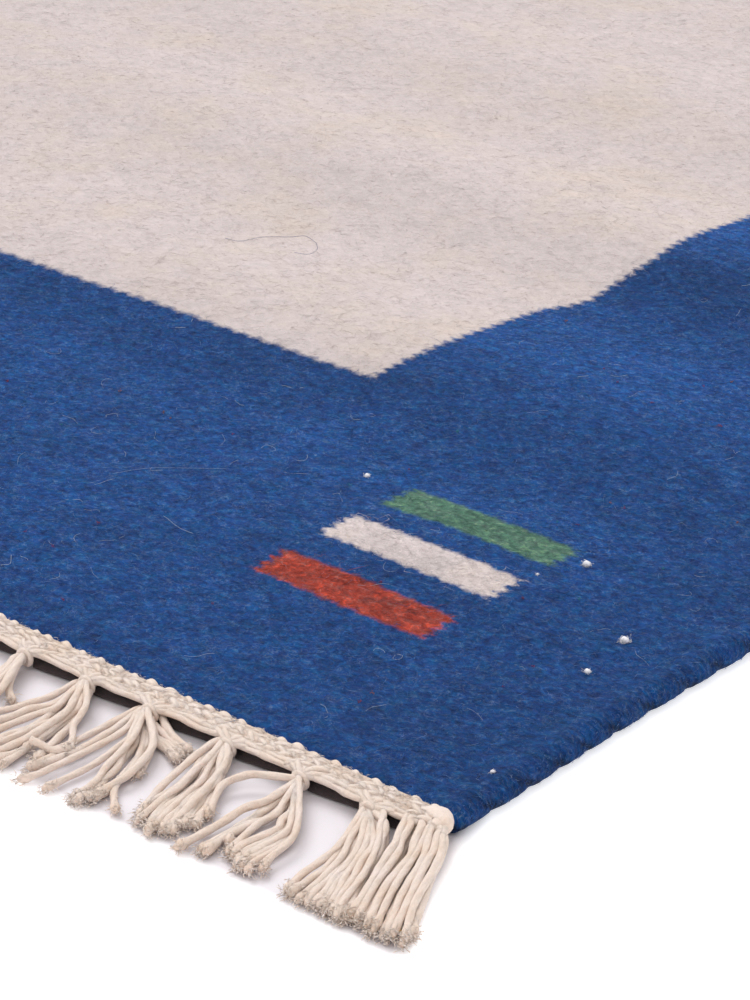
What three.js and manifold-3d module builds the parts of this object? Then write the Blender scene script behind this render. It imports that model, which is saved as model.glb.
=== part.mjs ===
// A flat-woven wool kilim, lying face up: +X along its fringed ends, +Y along its length, +Z up.
// The origin is under the middle of the rug, on the surface that it lies on. Units are millimetres.
import * as THREE from "three";
import Module from "manifold-3d";
import { mergeVertices } from "three/addons/utils/BufferGeometryUtils.js";

const wasm = await Module();
wasm.setup();

// Driving dimensions
const CLOTH_WIDTH = 1200;
const CLOTH_LENGTH = 1800;
const CLOTH_THICKNESS = 5.5;
const SEAM_GAP = 0.3;
const HEADING_WIDTH = 7.4;
const HEADING_LOW = 1.4;
const HEADING_HIGH = 5.9;
const HEADING_ROUND = 1.6;
const FRINGE_THICKNESS = 3.2;
const FRINGE_BAND = 2.4; // width of the strip of warp ends that joins the tassels at the heading
const FRINGE_INSET = 1; // how far that strip stops short of each selvedge
const KNOT_WIDTH = 6.5;
const KNOT_LENGTH = 3;

// The selvedge's half section: how far in from the edge, and the heights of its underside and face
const SELVEDGE = [
  { inset: 0, under: 2.2, over: 4.4 },
  { inset: 1.4, under: 0.5, over: 6.0 },
  { inset: 4.5, under: 0, over: 6.6 },
  { inset: 10, under: 0, over: CLOTH_THICKNESS },
];
const BODY_COLUMNS = 13;

// Rows of the cloth's surface along its length, closer together where the ridges are narrow
const ROW_BANDS = [
  { from: -CLOTH_LENGTH / 2, to: -400, steps: 24 },
  { from: -400, to: CLOTH_LENGTH / 2, steps: 30 },
];

// Soft ridges left from folding: centre, half length along the crest, half width across it,
// height of the crest, and the crest's turn from +X in degrees
const RIDGES = [
  { x: 420, y: -712, length: 330, width: 58, height: 3.2, turn: 1 },
  { x: 390, y: -598, length: 400, width: 52, height: 3.8, turn: -1 },
  { x: 330, y: -484, length: 430, width: 58, height: 2.4, turn: 0 },
  { x: 505, y: -806, length: 78, width: 46, height: 1.8, turn: 8 },
  { x: -260, y: -640, length: 320, width: 90, height: 2.2, turn: 2 },
  { x: -60, y: -270, length: 560, width: 110, height: 2.8, turn: 1 },
  { x: 90, y: 190, length: 600, width: 120, height: 2.4, turn: -1 },
  { x: -120, y: 480, length: 520, width: 110, height: 2.8, turn: 1 },
  { x: 160, y: 740, length: 420, width: 100, height: 2.0, turn: -2 },
];

// Tassels at the corner, from the selvedge inwards: the knot's place along the end,
// the two sides of the spread at the cut ends, and how far the ends reach past the cloth
const CORNER_TASSELS = [
  { knot: 594.5, near: 618.4, far: 605.4, reach: 42 },
  { knot: 580.6, near: 603.6, far: 588.0, reach: 43 },
  { knot: 560.3, near: 578.6, far: 566.4, reach: 43 },
  { knot: 538.0, near: 560.0, far: 545.0, reach: 45 },
  { knot: 513.5, near: 537.0, far: 519.0, reach: 45 },
  { knot: 492.7, near: 514.0, far: 500.0, reach: 45 },
  { knot: 471.8, near: 491.0, far: 477.0, reach: 44 },
];

// The tassels past those: their number and pitch, and the mean and the unevenness of the knot's place,
// of the sway to one side, of the half spread at the cut ends and of the reach past the cloth
const PLAIN_TASSELS = { number: 49, pitch: 21.8 };
const PLAIN_SHAPE = {
  knot: { mean: 0, uneven: 1.2, beat: 2.1 },
  sway: { mean: 11, uneven: 3, beat: 1.3 },
  spread: { mean: 6.2, uneven: 1.2, beat: 2.9 },
  reach: { mean: 44, uneven: 1, beat: 3.7 },
};

const WOOL_BLUE = 0x2c4e87;
const COTTON = 0xdccdc0;

function clothMaterial(colour) {
  return new THREE.MeshStandardMaterial({ color: colour, roughness: 0.95, metalness: 0 });
}

// A hump that is 1 at its crest and eases to nothing at its reach
function swell(distance, reach) {
  const share = Math.min(Math.abs(distance) / reach, 1);
  return (1 + Math.cos(Math.PI * share)) / 2;
}

// How high the cloth is lifted off the surface at a place
function lift(x, y) {
  let height = 0;
  for (const ridge of RIDGES) {
    const turn = THREE.MathUtils.degToRad(ridge.turn);
    const dx = x - ridge.x;
    const dy = y - ridge.y;
    const along = dx * Math.cos(turn) + dy * Math.sin(turn);
    const across = dy * Math.cos(turn) - dx * Math.sin(turn);
    height += ridge.height * swell(along, ridge.length) * swell(across, ridge.width);
  }
  return height;
}

// The cloth's section from one selvedge to the other: place along X, underside and face
function clothColumns() {
  const right = SELVEDGE.map(({ inset, under, over }) => ({ x: CLOTH_WIDTH / 2 - inset, under, over }));
  const left = SELVEDGE.map(({ inset, under, over }) => ({ x: inset - CLOTH_WIDTH / 2, under, over }));
  const inner = right[right.length - 1].x;
  const body = [];
  for (let column = 1; column < BODY_COLUMNS; column += 1) {
    const x = THREE.MathUtils.lerp(-inner, inner, column / BODY_COLUMNS);
    body.push({ x, under: 0, over: CLOTH_THICKNESS });
  }
  return [...left, ...body, ...right.reverse()];
}

function clothRows() {
  const rows = [ROW_BANDS[0].from];
  for (const { from, to, steps } of ROW_BANDS) {
    for (let step = 1; step <= steps; step += 1) {
      rows.push(THREE.MathUtils.lerp(from, to, step / steps));
    }
  }
  return rows;
}

// A box of unit cells, whose corners are then moved to the cloth's columns, rows and heights
function makeCloth() {
  const columns = clothColumns();
  const rows = clothRows();
  const across = columns.length - 1;
  const along = rows.length - 1;
  const geometry = new THREE.BoxGeometry(across, along, 1, across, along, 1);
  geometry.translate(across / 2, along / 2, 0);
  const places = geometry.getAttribute("position");
  for (let i = 0; i < places.count; i += 1) {
    const column = columns[Math.round(places.getX(i))];
    const y = rows[Math.round(places.getY(i))];
    const side = places.getZ(i) > 0 ? column.over : column.under;
    places.setXYZ(i, column.x, y, lift(column.x, y) + side);
  }
  const cloth = new THREE.Mesh(geometry, clothMaterial(WOOL_BLUE));
  cloth.name = "woven_cloth";
  return cloth;
}

// A geometry as a solid that can be joined to another
function solidOf(geometry) {
  const bare = geometry.index ? geometry.toNonIndexed() : geometry.clone();
  bare.deleteAttribute("normal");
  bare.deleteAttribute("uv");
  const merged = mergeVertices(bare);
  return new wasm.Manifold(
    new wasm.Mesh({
      numProp: 3,
      vertProperties: merged.getAttribute("position").array,
      triVerts: new Uint32Array(merged.index.array),
    }),
  );
}

function geometryOf(solid) {
  const mesh = solid.getMesh();
  const geometry = new THREE.BufferGeometry();
  geometry.setAttribute("position", new THREE.BufferAttribute(mesh.vertProperties, 3));
  geometry.setIndex(new THREE.BufferAttribute(mesh.triVerts, 1));
  geometry.computeVertexNormals();
  return geometry;
}

// The twined band's section, rounded away from the cloth: first axis away from it, second axis up
function headingSection() {
  const [low, high, far, round] = [HEADING_LOW, HEADING_HIGH, HEADING_WIDTH, HEADING_ROUND];
  const section = new THREE.Shape();
  section.moveTo(round, low);
  section.lineTo(far - round, low);
  section.quadraticCurveTo(far, low, far, low + round);
  section.lineTo(far, high - round);
  section.quadraticCurveTo(far, high, far - round, high);
  section.lineTo(round, high);
  section.lineTo(0, high - round);
  section.lineTo(0, low + round);
  section.closePath();
  return section;
}

// The cord's tail, turned over the corner of the cloth: a short thick lump on the band's end.
// Its middle lies inset from the selvedge, out from the cloth's end, and at a height.
const TAIL_SIDES = 12;
const TAIL_RINGS = 8;
const TAIL = { inset: 5.5, halfLength: 6.6, halfWidth: 3.6, halfHeight: 2.9, height: 3.6, out: 3.8 };

// A cotton band along one end of the cloth, with a cord's tail at each corner
function makeHeading(name) {
  const band = new THREE.ExtrudeGeometry(headingSection(), {
    depth: CLOTH_WIDTH - 2 * TAIL.inset,
    bevelEnabled: false,
    curveSegments: 2,
  });
  band.translate(0, 0, TAIL.inset - CLOTH_WIDTH / 2);
  const outward = new THREE.Vector3(0, -1, 0);
  const up = new THREE.Vector3(0, 0, 1);
  const sideways = new THREE.Vector3(-1, 0, 0);
  band.applyMatrix4(new THREE.Matrix4().makeBasis(outward, up, sideways));
  let solid = solidOf(band);
  for (const side of [-1, 1]) {
    const tail = new THREE.SphereGeometry(1, TAIL_SIDES, TAIL_RINGS);
    tail.scale(TAIL.halfLength, TAIL.halfWidth, TAIL.halfHeight);
    tail.translate(side * (CLOTH_WIDTH / 2 - TAIL.inset), -TAIL.out, TAIL.height);
    solid = solid.add(solidOf(tail));
  }
  const heading = new THREE.Mesh(geometryOf(solid), clothMaterial(COTTON));
  heading.name = name;
  heading.position.y = -SEAM_GAP;
  return heading;
}

// A mean size with a little unevenness, which differs from one tassel to the next
function uneven({ mean, uneven: size, beat }, order) {
  return mean + size * Math.sin(beat * order);
}

// A tassel past the corner ones, counted from them along the end
function plainTassel(order) {
  const first = CORNER_TASSELS[CORNER_TASSELS.length - 1].knot;
  const knot = first - PLAIN_TASSELS.pitch * (order + 1) + uneven(PLAIN_SHAPE.knot, order);
  const middle = knot + uneven(PLAIN_SHAPE.sway, order);
  const spread = uneven(PLAIN_SHAPE.spread, order);
  return { knot, near: middle + spread, far: middle - spread, reach: uneven(PLAIN_SHAPE.reach, order) };
}

// A tassel's half way down its length: how far its two sides have spread by then, as shares
const HALF_WAY = { far: 0.45, near: 0.62 };

// The comb's outline: down one side of each tassel from its knot to the cut ends, and up the other
function fringeOutline(tassels) {
  const edge = CLOTH_WIDTH / 2 - FRINGE_INSET;
  const inner = -(2 * SEAM_GAP + HEADING_WIDTH);
  const knotTop = inner - FRINGE_BAND;
  const knotLow = knotTop - KNOT_LENGTH;
  const half = KNOT_WIDTH / 2;
  const outline = new THREE.Shape();
  outline.moveTo(edge, inner);
  outline.lineTo(-edge, inner);
  outline.lineTo(-edge, knotTop);
  for (const { knot, near, far, reach } of [...tassels].reverse()) {
    const bend = (knotLow - reach) / 2;
    outline.lineTo(knot - half, knotTop);
    outline.lineTo(knot - half, knotLow);
    outline.lineTo(THREE.MathUtils.lerp(knot - half, far, HALF_WAY.far), bend);
    outline.lineTo(far, -reach);
    outline.lineTo(near, -reach);
    outline.lineTo(THREE.MathUtils.lerp(knot + half, near, HALF_WAY.near), bend);
    outline.lineTo(knot + half, knotLow);
    outline.lineTo(knot + half, knotTop);
  }
  outline.lineTo(edge, knotTop);
  outline.closePath();
  return outline;
}

// The warp ends, knotted in tassels, as one comb that lies on the surface
function makeFringe(name) {
  const tassels = [...CORNER_TASSELS];
  for (let order = 0; order < PLAIN_TASSELS.number; order += 1) {
    tassels.push(plainTassel(order));
  }
  const geometry = new THREE.ExtrudeGeometry(fringeOutline(tassels), {
    depth: FRINGE_THICKNESS,
    bevelEnabled: false,
  });
  const fringe = new THREE.Mesh(geometry, clothMaterial(COTTON));
  fringe.name = name;
  return fringe;
}

// One end's finish, placed at the end of the cloth; the other end is the same, turned round
function makeEnd(label) {
  const end = new THREE.Group();
  end.add(makeHeading("heading_" + label));
  end.add(makeFringe("fringe_" + label));
  end.position.y = -CLOTH_LENGTH / 2;
  return end;
}

const nearEnd = makeEnd("near");
const farEnd = new THREE.Group();
farEnd.rotation.z = Math.PI;
farEnd.add(makeEnd("far"));

const kilim = new THREE.Group();
kilim.add(makeCloth(), nearEnd, farEnd);

export default kilim;
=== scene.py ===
"""A flat-woven wool kilim with twined ends and knotted fringes, lying on a pale floor."""

import math

import bpy
import numpy as np
from bpy.props import FloatProperty, FloatVectorProperty, PointerProperty
from bpy.types import Operator, Panel, PropertyGroup
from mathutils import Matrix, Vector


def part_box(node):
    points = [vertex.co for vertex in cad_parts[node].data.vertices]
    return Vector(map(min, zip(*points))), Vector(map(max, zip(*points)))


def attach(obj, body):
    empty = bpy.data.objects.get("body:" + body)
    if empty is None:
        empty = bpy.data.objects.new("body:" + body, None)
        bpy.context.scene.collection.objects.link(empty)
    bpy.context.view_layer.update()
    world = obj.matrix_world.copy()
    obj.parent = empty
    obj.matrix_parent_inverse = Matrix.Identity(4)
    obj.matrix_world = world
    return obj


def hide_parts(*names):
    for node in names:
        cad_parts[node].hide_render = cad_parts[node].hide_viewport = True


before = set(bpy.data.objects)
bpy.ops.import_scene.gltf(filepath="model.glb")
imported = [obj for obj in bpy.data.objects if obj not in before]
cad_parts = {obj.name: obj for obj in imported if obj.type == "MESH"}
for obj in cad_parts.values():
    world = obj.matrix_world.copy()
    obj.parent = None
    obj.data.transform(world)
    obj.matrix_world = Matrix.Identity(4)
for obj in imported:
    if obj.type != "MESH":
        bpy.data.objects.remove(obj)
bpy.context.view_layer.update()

bl_info = {
    "name": "Kilim",
    "version": (1, 0, 0),
    "blender": (4, 5, 0),
    "location": "View3D > Sidebar > Kilim",
    "description": "Weaves a wool kilim with twined ends and knotted fringes",
    "category": "Add Mesh",
}

TAU = 2 * math.pi
METRE = 1000.0  # in millimetres, which all shapes are worked out in
UP = np.array([0.0, 0.0, 1.0])
END_WISE = np.array([0.0, 1.0, 0.0])

HALF_WIDTH, HALF_LENGTH, _ = (float(side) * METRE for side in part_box("woven_cloth")[1])

# The cloth's half section in millimetres: inset from the selvedge and height, over the edge and under it
FACE_HEIGHT = 5.5
SELVEDGE = [
    (40, 5.5), (26, 5.5), (18, 5.5), (13.5, 5.52), (10.5, 5.62), (8.3, 5.9), (6.4, 6.3), (4.8, 6.6),
    (3.4, 6.6), (2.1, 6.25), (1.0, 5.55), (0.25, 4.5), (0, 3.3), (0.35, 2.1), (1.3, 1.05), (2.7, 0.4),
    (4.6, 0.08), (8, 0), (20, 0),
]
# Sizes of the cloth's mesh: columns on the face and under it, and rows at the near end and past it
BODY_COLUMN = 17.0
UNDER_COLUMN = 60.0
NEAR_ROW = 1.55
PLAIN_ROW = 3.5
NEAR_ROWS_END = -715.0

# Soft ridges left from folding: middle, half length, half width, height, and turn from +X in degrees
RIDGES = [
    (420, -712, 330, 58, 3.2, 1),
    (390, -598, 400, 52, 3.8, -1),
    (330, -484, 430, 58, 2.4, 0),
    (505, -806, 78, 46, 1.8, 8),
    (-260, -640, 320, 90, 2.2, 2),
    (-60, -270, 560, 110, 2.8, 1),
    (90, 190, 600, 120, 2.4, -1),
    (-120, 480, 520, 110, 2.8, 1),
    (160, 740, 420, 100, 2.0, -2),
]
# Small lumps in the weave: wave lengths along X and Y, phase and height
LUMPS = [
    (83, 61, 0.3, 0.16),
    (-47, 39, 2.1, 0.12),
    (29, -33, 4.4, 0.09),
    (-19, 23, 1.2, 0.06),
]
# The turns of the weft round the outer warps
SCALLOP_PITCH = 12.5
SCALLOP_DEPTH = 0.85

# The camera: place in metres, pitch down and yaw in degrees, and focal length
CAMERA_PLACE = (1.00536, -1.3910, 0.38181)
CAMERA_PITCH = 25.27
CAMERA_YAW = 41.21
CAMERA_LENS = 122.4
SENSOR = 36.0
FRAME_WIDTH, FRAME_HEIGHT = 750, 1000
# The same camera before it was rounded, as it was fitted to the photo: place in millimetres, and degrees
FITTED_PLACE = np.array([1005.3619, -1390.9961, 381.8127])
FITTED_PITCH = 25.2675
FITTED_YAW = 41.20573
# How high a pick on the cloth counts as lying, unless it says otherwise
PICK_HEIGHT = 6.0


def view_axes(pitch, yaw):
    """Ahead, right and up for a camera, from its pitch down and yaw in degrees."""
    pitch, yaw = math.radians(pitch), math.radians(yaw)
    ahead = np.array([-math.sin(yaw) * math.cos(pitch), math.cos(yaw) * math.cos(pitch), -math.sin(pitch)])
    right = np.array([math.cos(yaw), math.sin(yaw), 0.0])
    return ahead, right, np.cross(right, ahead)


def pick(across, down, height=PICK_HEIGHT):
    """The X and Y of a pixel that was picked on the photo, at a height, to a tenth of a millimetre."""
    ahead, right, up = view_axes(FITTED_PITCH, FITTED_YAW)
    focal = FRAME_HEIGHT * CAMERA_LENS / SENSOR
    ray = ahead + (right * (across - FRAME_WIDTH / 2) - up * (down - FRAME_HEIGHT / 2)) / focal
    x, y, _ = FITTED_PLACE + ray * (height - FITTED_PLACE[2]) / ray[2]
    return round(float(x), 1), round(float(y), 1)


# How high a strand of the fringe lies, from its start to its cut end
STRAND_HEIGHTS = {
    "piled": (4.2, 3.9, 3.2, 2.6, 1.8),
    "over": (4.2, 3.8, 3.2, 2.4, 1.3),
    "mid": (3.7, 2.7, 1.8, 1.3, 1.1),
    "under": (2.2, 1.3, 1.1, 1.0, 1.0),
}
# Strands of the tassels at the corner, by the place of each tassel's knot along the end: how high each lies,
# and its pixels on the photo, picked one by one. None passes over a pick that the curve can do without
CORNER_KNOT = 594.5
STRAND_PICKS = {
    CORNER_KNOT: [
        ("piled", [(400, 828), (392, 842), (386, 858), None, (366, 886), None, (347, 916)]),
        ("piled", [(410, 826), (403, 840), (396, 852), None, (374, 884), None, (355, 921)]),
        ("piled", [(420, 826), (414, 840), (405, 855), None, (384, 886), None, (365, 927)]),
        ("piled", [(428, 828), (423, 842), (413, 858), None, (394, 890), None, (375, 932)]),
        ("piled", [(434, 832), (428, 848), (420, 862), None, (402, 895), None, (385, 936)]),
        ("piled", [(440, 836), (435, 850), (427, 865), None, (410, 898), None, (394, 939)]),
        ("piled", [(443, 838), (440, 854), (432, 870), None, (415, 905), None, (403, 941)]),
        ("mid", [(441, 842), (437, 858), (430, 873), None, (416, 905), None, (412, 938)]),
    ],
    580.6: [
        ("mid", [(362, 814), (350, 828), (335, 845), (318, 862), (302, 876), (286, 892)]),
        ("mid", [(362, 818), (353, 838), (343, 855), (328, 872), (312, 887), (299, 902)]),
        ("mid", [(365, 820), (358, 842), (348, 860), (335, 876), (322, 893), (311, 906)]),
        ("mid", [(369, 825), (364, 845), (357, 862), (345, 878), (334, 895), (323, 911)]),
        ("mid", [(373, 828), (369, 846), (362, 863), (351, 880), (341, 899), (332, 916)]),
        ("over", [(381, 812), (382, 828), (377, 845), None, (362, 875), None, (343, 906), (338, 919)]),
        ("mid", [(384, 822), (381, 840), (375, 856), (366, 872), (357, 888), None, (343, 921)]),
    ],
    560.3: [
        ("over", [(297, 777), (299, 800), (296, 820), (291, 838), None, (270, 860), (260, 871)]),
        ("mid", [(291, 788), (284, 800), (275, 812), (262, 822), None, (236, 842), (228, 854)]),
        ("mid", [(287, 787), (266, 800), (246, 808), (226, 819), (206, 829), None, (174, 849)]),
        ("mid", [(294, 792), (291, 808), (284, 820), (272, 829), None, (244, 846), (232, 858)]),
        ("mid", [(295, 795), (293, 815), (287, 829), (275, 840), None, (247, 858), (238, 868)]),
        ("under", [(296, 798), (294, 818), (289, 834), (279, 846), None, (254, 865), (248, 873)]),
        ("over", [(290, 778), None, (256, 776), (240, 777), (227, 782), (217, 791), None, (208, 818)]),
    ],
    538.0: [
        ("mid", [(218, 741), (201, 749), (187, 761), None, (164, 786), (150, 798), (138, 812)]),
        ("over", [(222, 742), (208, 757), (194, 770), (179, 785), (162, 797), None, (136, 822)]),
        ("mid", [(222, 750), (212, 765), (200, 779), (187, 793), None, (164, 817), (155, 830)]),
        ("over", [(228, 745), (226, 759), (217, 773), None, (196, 797), (186, 808), None, (165, 832)]),
        ("mid", [(223, 762), (213, 779), (204, 792), (196, 803), (190, 814), (184, 826)]),
        ("under", [(226, 762), (219, 778), (212, 792), (206, 805), (200, 817), (194, 827)]),
        ("under", [(220, 748), (206, 764), (190, 778), None, (163, 806), (152, 820), (147, 836)]),
    ],
    513.5: [
        ("under", [(139, 709), (121, 717), (102, 727), None, (70, 745), (51, 753), (35, 759)]),
        ("mid", [(141, 710), (127, 724), (113, 736), None, (80, 755), None, (38, 774), (18, 781)]),
        ("over", [(143, 711), (135, 728), (127, 742), None, (107, 768), (95, 780), None, (70, 799)]),
        ("mid", [(140, 716), (133, 735), (124, 754), (112, 771), None, (86, 795), (76, 803)]),
        ("over", [(148, 712), (152, 733), (149, 748), None, (132, 770), (120, 780), None, (93, 797)]),
        ("under", [(144, 716), (139, 734), (131, 750), (120, 766), None, (97, 789), (88, 801)]),
        ("mid", [(149, 704), (158, 712), (166, 726), (176, 739), (188, 752)]),
        ("under", [(150, 722), (156, 736), (168, 745), (181, 757)]),
        ("under", [(149, 727), (155, 741), (166, 750), (178, 762)]),
    ],
    492.7: [
        ("under", [(78, 683), (64, 690), (48, 697), (30, 703), (10, 708), None, (-24, 716)]),
        ("mid", [(80, 684), (67, 697), (54, 707), (38, 714), None, (0, 729), (-18, 735)]),
        ("over", [(83, 685), (75, 700), (65, 712), None, (34, 733), (15, 743), None, (-18, 757)]),
        ("mid", [(84, 688), (77, 705), (68, 718), None, (42, 738), (27, 749), None, (-4, 767)]),
        ("over", [(86, 684), (85, 702), (80, 715), (74, 727), (70, 740), (67, 754)]),
        ("under", [(79, 690), (62, 703), (45, 716), (25, 728), (5, 736), None, (-22, 750)]),
    ],
    471.8: [
        ("mid", [(14, 658), (2, 670), (-10, 680), (-24, 692), (-38, 703), (-50, 715)]),
        ("over", [(17, 660), (9, 676), (0, 689), (-13, 702), (-28, 714), (-40, 727)]),
        ("mid", [(18, 663), (13, 676), (9, 690), (11, 703)]),
        ("mid", [(16, 659), (5, 675), (-8, 690), (-20, 702), (-32, 716), (-44, 730)]),
        ("under", [(15, 662), (3, 682), (-10, 697), (-24, 712), (-36, 728)]),
        ("under", [(13, 660), (0, 675), (-15, 690), (-30, 703), (-46, 716)]),
    ],
}
# Cut ends that lie under and across their neighbours: the pixels picked for them on the photo, the height
# that each pixel is placed at, and the height that the strand is then laid at
LOOSE_PICKS = [
    [(120, 778, 2.2, 2.2), (114, 790, 1.25, 1.2), (115, 801, 1.0, 1.0), (117, 813, 1.0, 1.0)],
    [(30, 740, 3.7, 3.7), (41, 747, 2.4, 3.0), (53, 752, 1.45, 1.8), (70, 750, 1.1, 1.1)],
    [(74, 746, 2.2, 2.2), (60, 751, 1.25, 1.2), (47, 757, 1.05, 1.0), (33, 766, 1.0, 1.0)],
]
# Tassels past this place along the end have a second layer of strands
LAYERED_FROM = 480.0
# The picked tassels that the others repeat, and how many others there are at each end
PATTERN_KNOTS = (560.3, 538.0, 513.5, 492.7)
PLAIN_TASSELS = 49
TASSEL_PITCH = 21.8

# The tail of the heading's cord, turned over the corner of the cloth: places along the end, out from the
# cloth and up, and the cord's radius at each
CORNER_TAIL = [(589, 3.2, 4.2), (593.2, 2.4, 4.7), (596.2, 2.1, 4.8), (597.6, 3.4, 4.3), (597.4, 5.0, 3.6)]
TAIL_RADII = (1.1, 1.8, 2.45, 2.6, 2.1)

# Long stray hairs on the cloth: colour, radius, and the places that they run through, picked or chosen
HAIRS = [
    ("navy", 0.05, [
        pick(225, 240), pick(240, 243), pick(262, 238), pick(290, 237), pick(305, 236), pick(316, 243),
    ]),
    ("navy", 0.05, [pick(316, 243), (349, -668.5), (350.2, -673.6), (346.5, -676)]),
    ("pale", 0.05, [pick(163, 515), pick(175, 524), pick(193, 533)]),
    ("pale", 0.05, [pick(175, 331), (364.2, -741.6), pick(193, 324)]),
    ("pale", 0.025, [pick(113, 473), pick(150, 467), pick(190, 467), pick(230, 470)]),
    ("pale", 0.05, [pick(0, 564), (436.3, -879.4), pick(11, 554)]),
    ("pale", 0.05, [(378, -842), (384, -845), (391, -844)]),
]
# White lint, and specks of other wool caught in the yarn: colour, place, picked or chosen, and size
SPECKS = [
    ("white", *pick(586, 568, FACE_HEIGHT), 1.5), ("white", *pick(625, 643, FACE_HEIGHT), 1.6),
    ("white", *pick(588, 673, FACE_HEIGHT), 1.2), ("white", *pick(537, 579, FACE_HEIGHT), 0.5),
    ("white", *pick(367, 478, FACE_HEIGHT), 1), ("white", 593.5, -881.5, 0.8),
    ("orange", *pick(120, 390), 0.8), ("orange", *pick(163, 411), 0.7), ("red", *pick(98, 523), 0.8),
    ("red", *pick(652, 409), 0.7), ("red", *pick(720, 433), 0.9), ("orange", *pick(731, 383), 0.7),
    ("red", 352, -801, 0.6), ("orange", 560, -742, 0.6), ("teal", 470, -746, 0.9),
    ("yellow", 583.6, -909.4, 1.1), ("yellow", 617.2, -938.6, 1),
]
SPECK_COLOURS = {
    "white": (0.80, 0.78, 0.82),
    "pale": (0.40, 0.44, 0.52),
    "navy": (0.10, 0.11, 0.24),
    "orange": (0.36, 0.12, 0.04),
    "red": (0.27, 0.04, 0.05),
    "teal": (0.03, 0.20, 0.24),
    "magenta": (0.26, 0.05, 0.14),
    "yellow": (0.86, 0.55, 0.04),
}


# Settings


def length_setting(name, description, default):
    return FloatProperty(
        name=name, description=description, default=default, min=0.0005, precision=5,
        subtype="DISTANCE", unit="LENGTH",
    )


def colour_setting(name, description, default):
    return FloatVectorProperty(
        name=name, description=description, default=default, size=3, min=0.0, max=1.0, subtype="COLOR",
    )


def strength_setting(name, description, default):
    return FloatProperty(name=name, description=description, default=default, min=0.0, max=20.0)


def angle_setting(name, description, degrees):
    return FloatProperty(
        name=name, description=description, default=math.radians(degrees), min=-math.pi, max=math.pi,
        subtype="ANGLE", unit="ROTATION",
    )


class KilimSizes(PropertyGroup):
    """Sizes of the weave, its pattern and its fringe."""

    side_border: length_setting("Side border", "Width of the blue border along each selvedge", 0.170)
    end_border: length_setting("End border", "Width of the blue border along each fringed end", 0.1650)
    warp_pitch: length_setting("Warp pitch", "Distance from one warp to the next", 0.002975)
    pick_pitch: length_setting("Pick pitch", "Distance from one pick of weft to the next", 0.0018)
    bar_length: length_setting("Bar length", "Length of each short coloured bar", 0.055)
    bar_width: length_setting("Bar width", "Width of each short coloured bar", 0.013)
    strand: length_setting("Fringe strand", "Thickness of one warp end in the fringe", 0.00182)
    fibre: length_setting("Fuzz fibre", "Mean length of the wool fibres that stand off the face", 0.0031)


class KilimColours(PropertyGroup):
    """Colours of the yarns, as the dyer's mean for each."""

    blue: colour_setting("Border blue", "Wool of the border", (0.0062, 0.0650, 0.264))
    cream: colour_setting("Field cream", "Undyed wool of the field and the middle bar", (0.692, 0.601, 0.590))
    red: colour_setting("Bar red", "Wool of the outer bar", (0.440, 0.056, 0.034))
    green: colour_setting("Bar green", "Wool of the inner bar", (0.082, 0.192, 0.136))
    cotton: colour_setting("Cotton", "Warp and heading cord", (0.850, 0.712, 0.630))
    # Also tints the heading's body and the fringe's low fibres, as painted shade
    soil: colour_setting("Soiled ends", "Cut ends of the fringe, where dust gathers", (0.78, 0.53, 0.38))


class KilimStage(PropertyGroup):
    """The floor and the light."""

    floor: colour_setting("Floor", "Colour of the pale floor", (0.88, 0.875, 0.885))
    ambient: strength_setting("Ambient light", "Strength of the even light from all round", 0.73)
    key: strength_setting("Key light", "Strength of the broad light from behind the rug", 1.45)
    fill: strength_setting("Fill light", "Strength of the broad light from the other side", 0.90)
    key_height: angle_setting("Key height", "How high the key light stands over the floor", 54)
    key_turn: angle_setting("Key turn", "Turn of the key light from +Y towards -X", 72)


def in_mm(metres):
    return metres * METRE


# Shader maths


class Wire:
    """One output of a node. Python's operators on it add the Math nodes that work out the result."""

    def __init__(self, recipe, socket):
        self.recipe = recipe
        self.socket = socket

    def maths(self, operation, *others):
        values = dict(enumerate((self, *others)))
        return self.recipe.node("ShaderNodeMath", {"operation": operation}, values)

    def __add__(self, other):
        return self.maths("ADD", other)

    def __sub__(self, other):
        return self.maths("SUBTRACT", other)

    def __rsub__(self, other):
        return self.maths("MULTIPLY_ADD", -1.0, other)

    def __mul__(self, other):
        return self.maths("MULTIPLY", other)

    def __truediv__(self, number):
        return self.maths("MULTIPLY", 1.0 / number)

    def __abs__(self):
        return self.maths("ABSOLUTE")

    def cosine(self):
        return self.maths("COSINE")

    def limited(self):
        return self.maths("MINIMUM", 1.0).maths("MAXIMUM", 0.0)


def find_socket(sockets, key):
    """A node's socket by its order, its identifier or its name."""
    if isinstance(key, int):
        return sockets[key]
    for socket in sockets:
        if socket.identifier == key:
            return socket
    return sockets[key]


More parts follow.
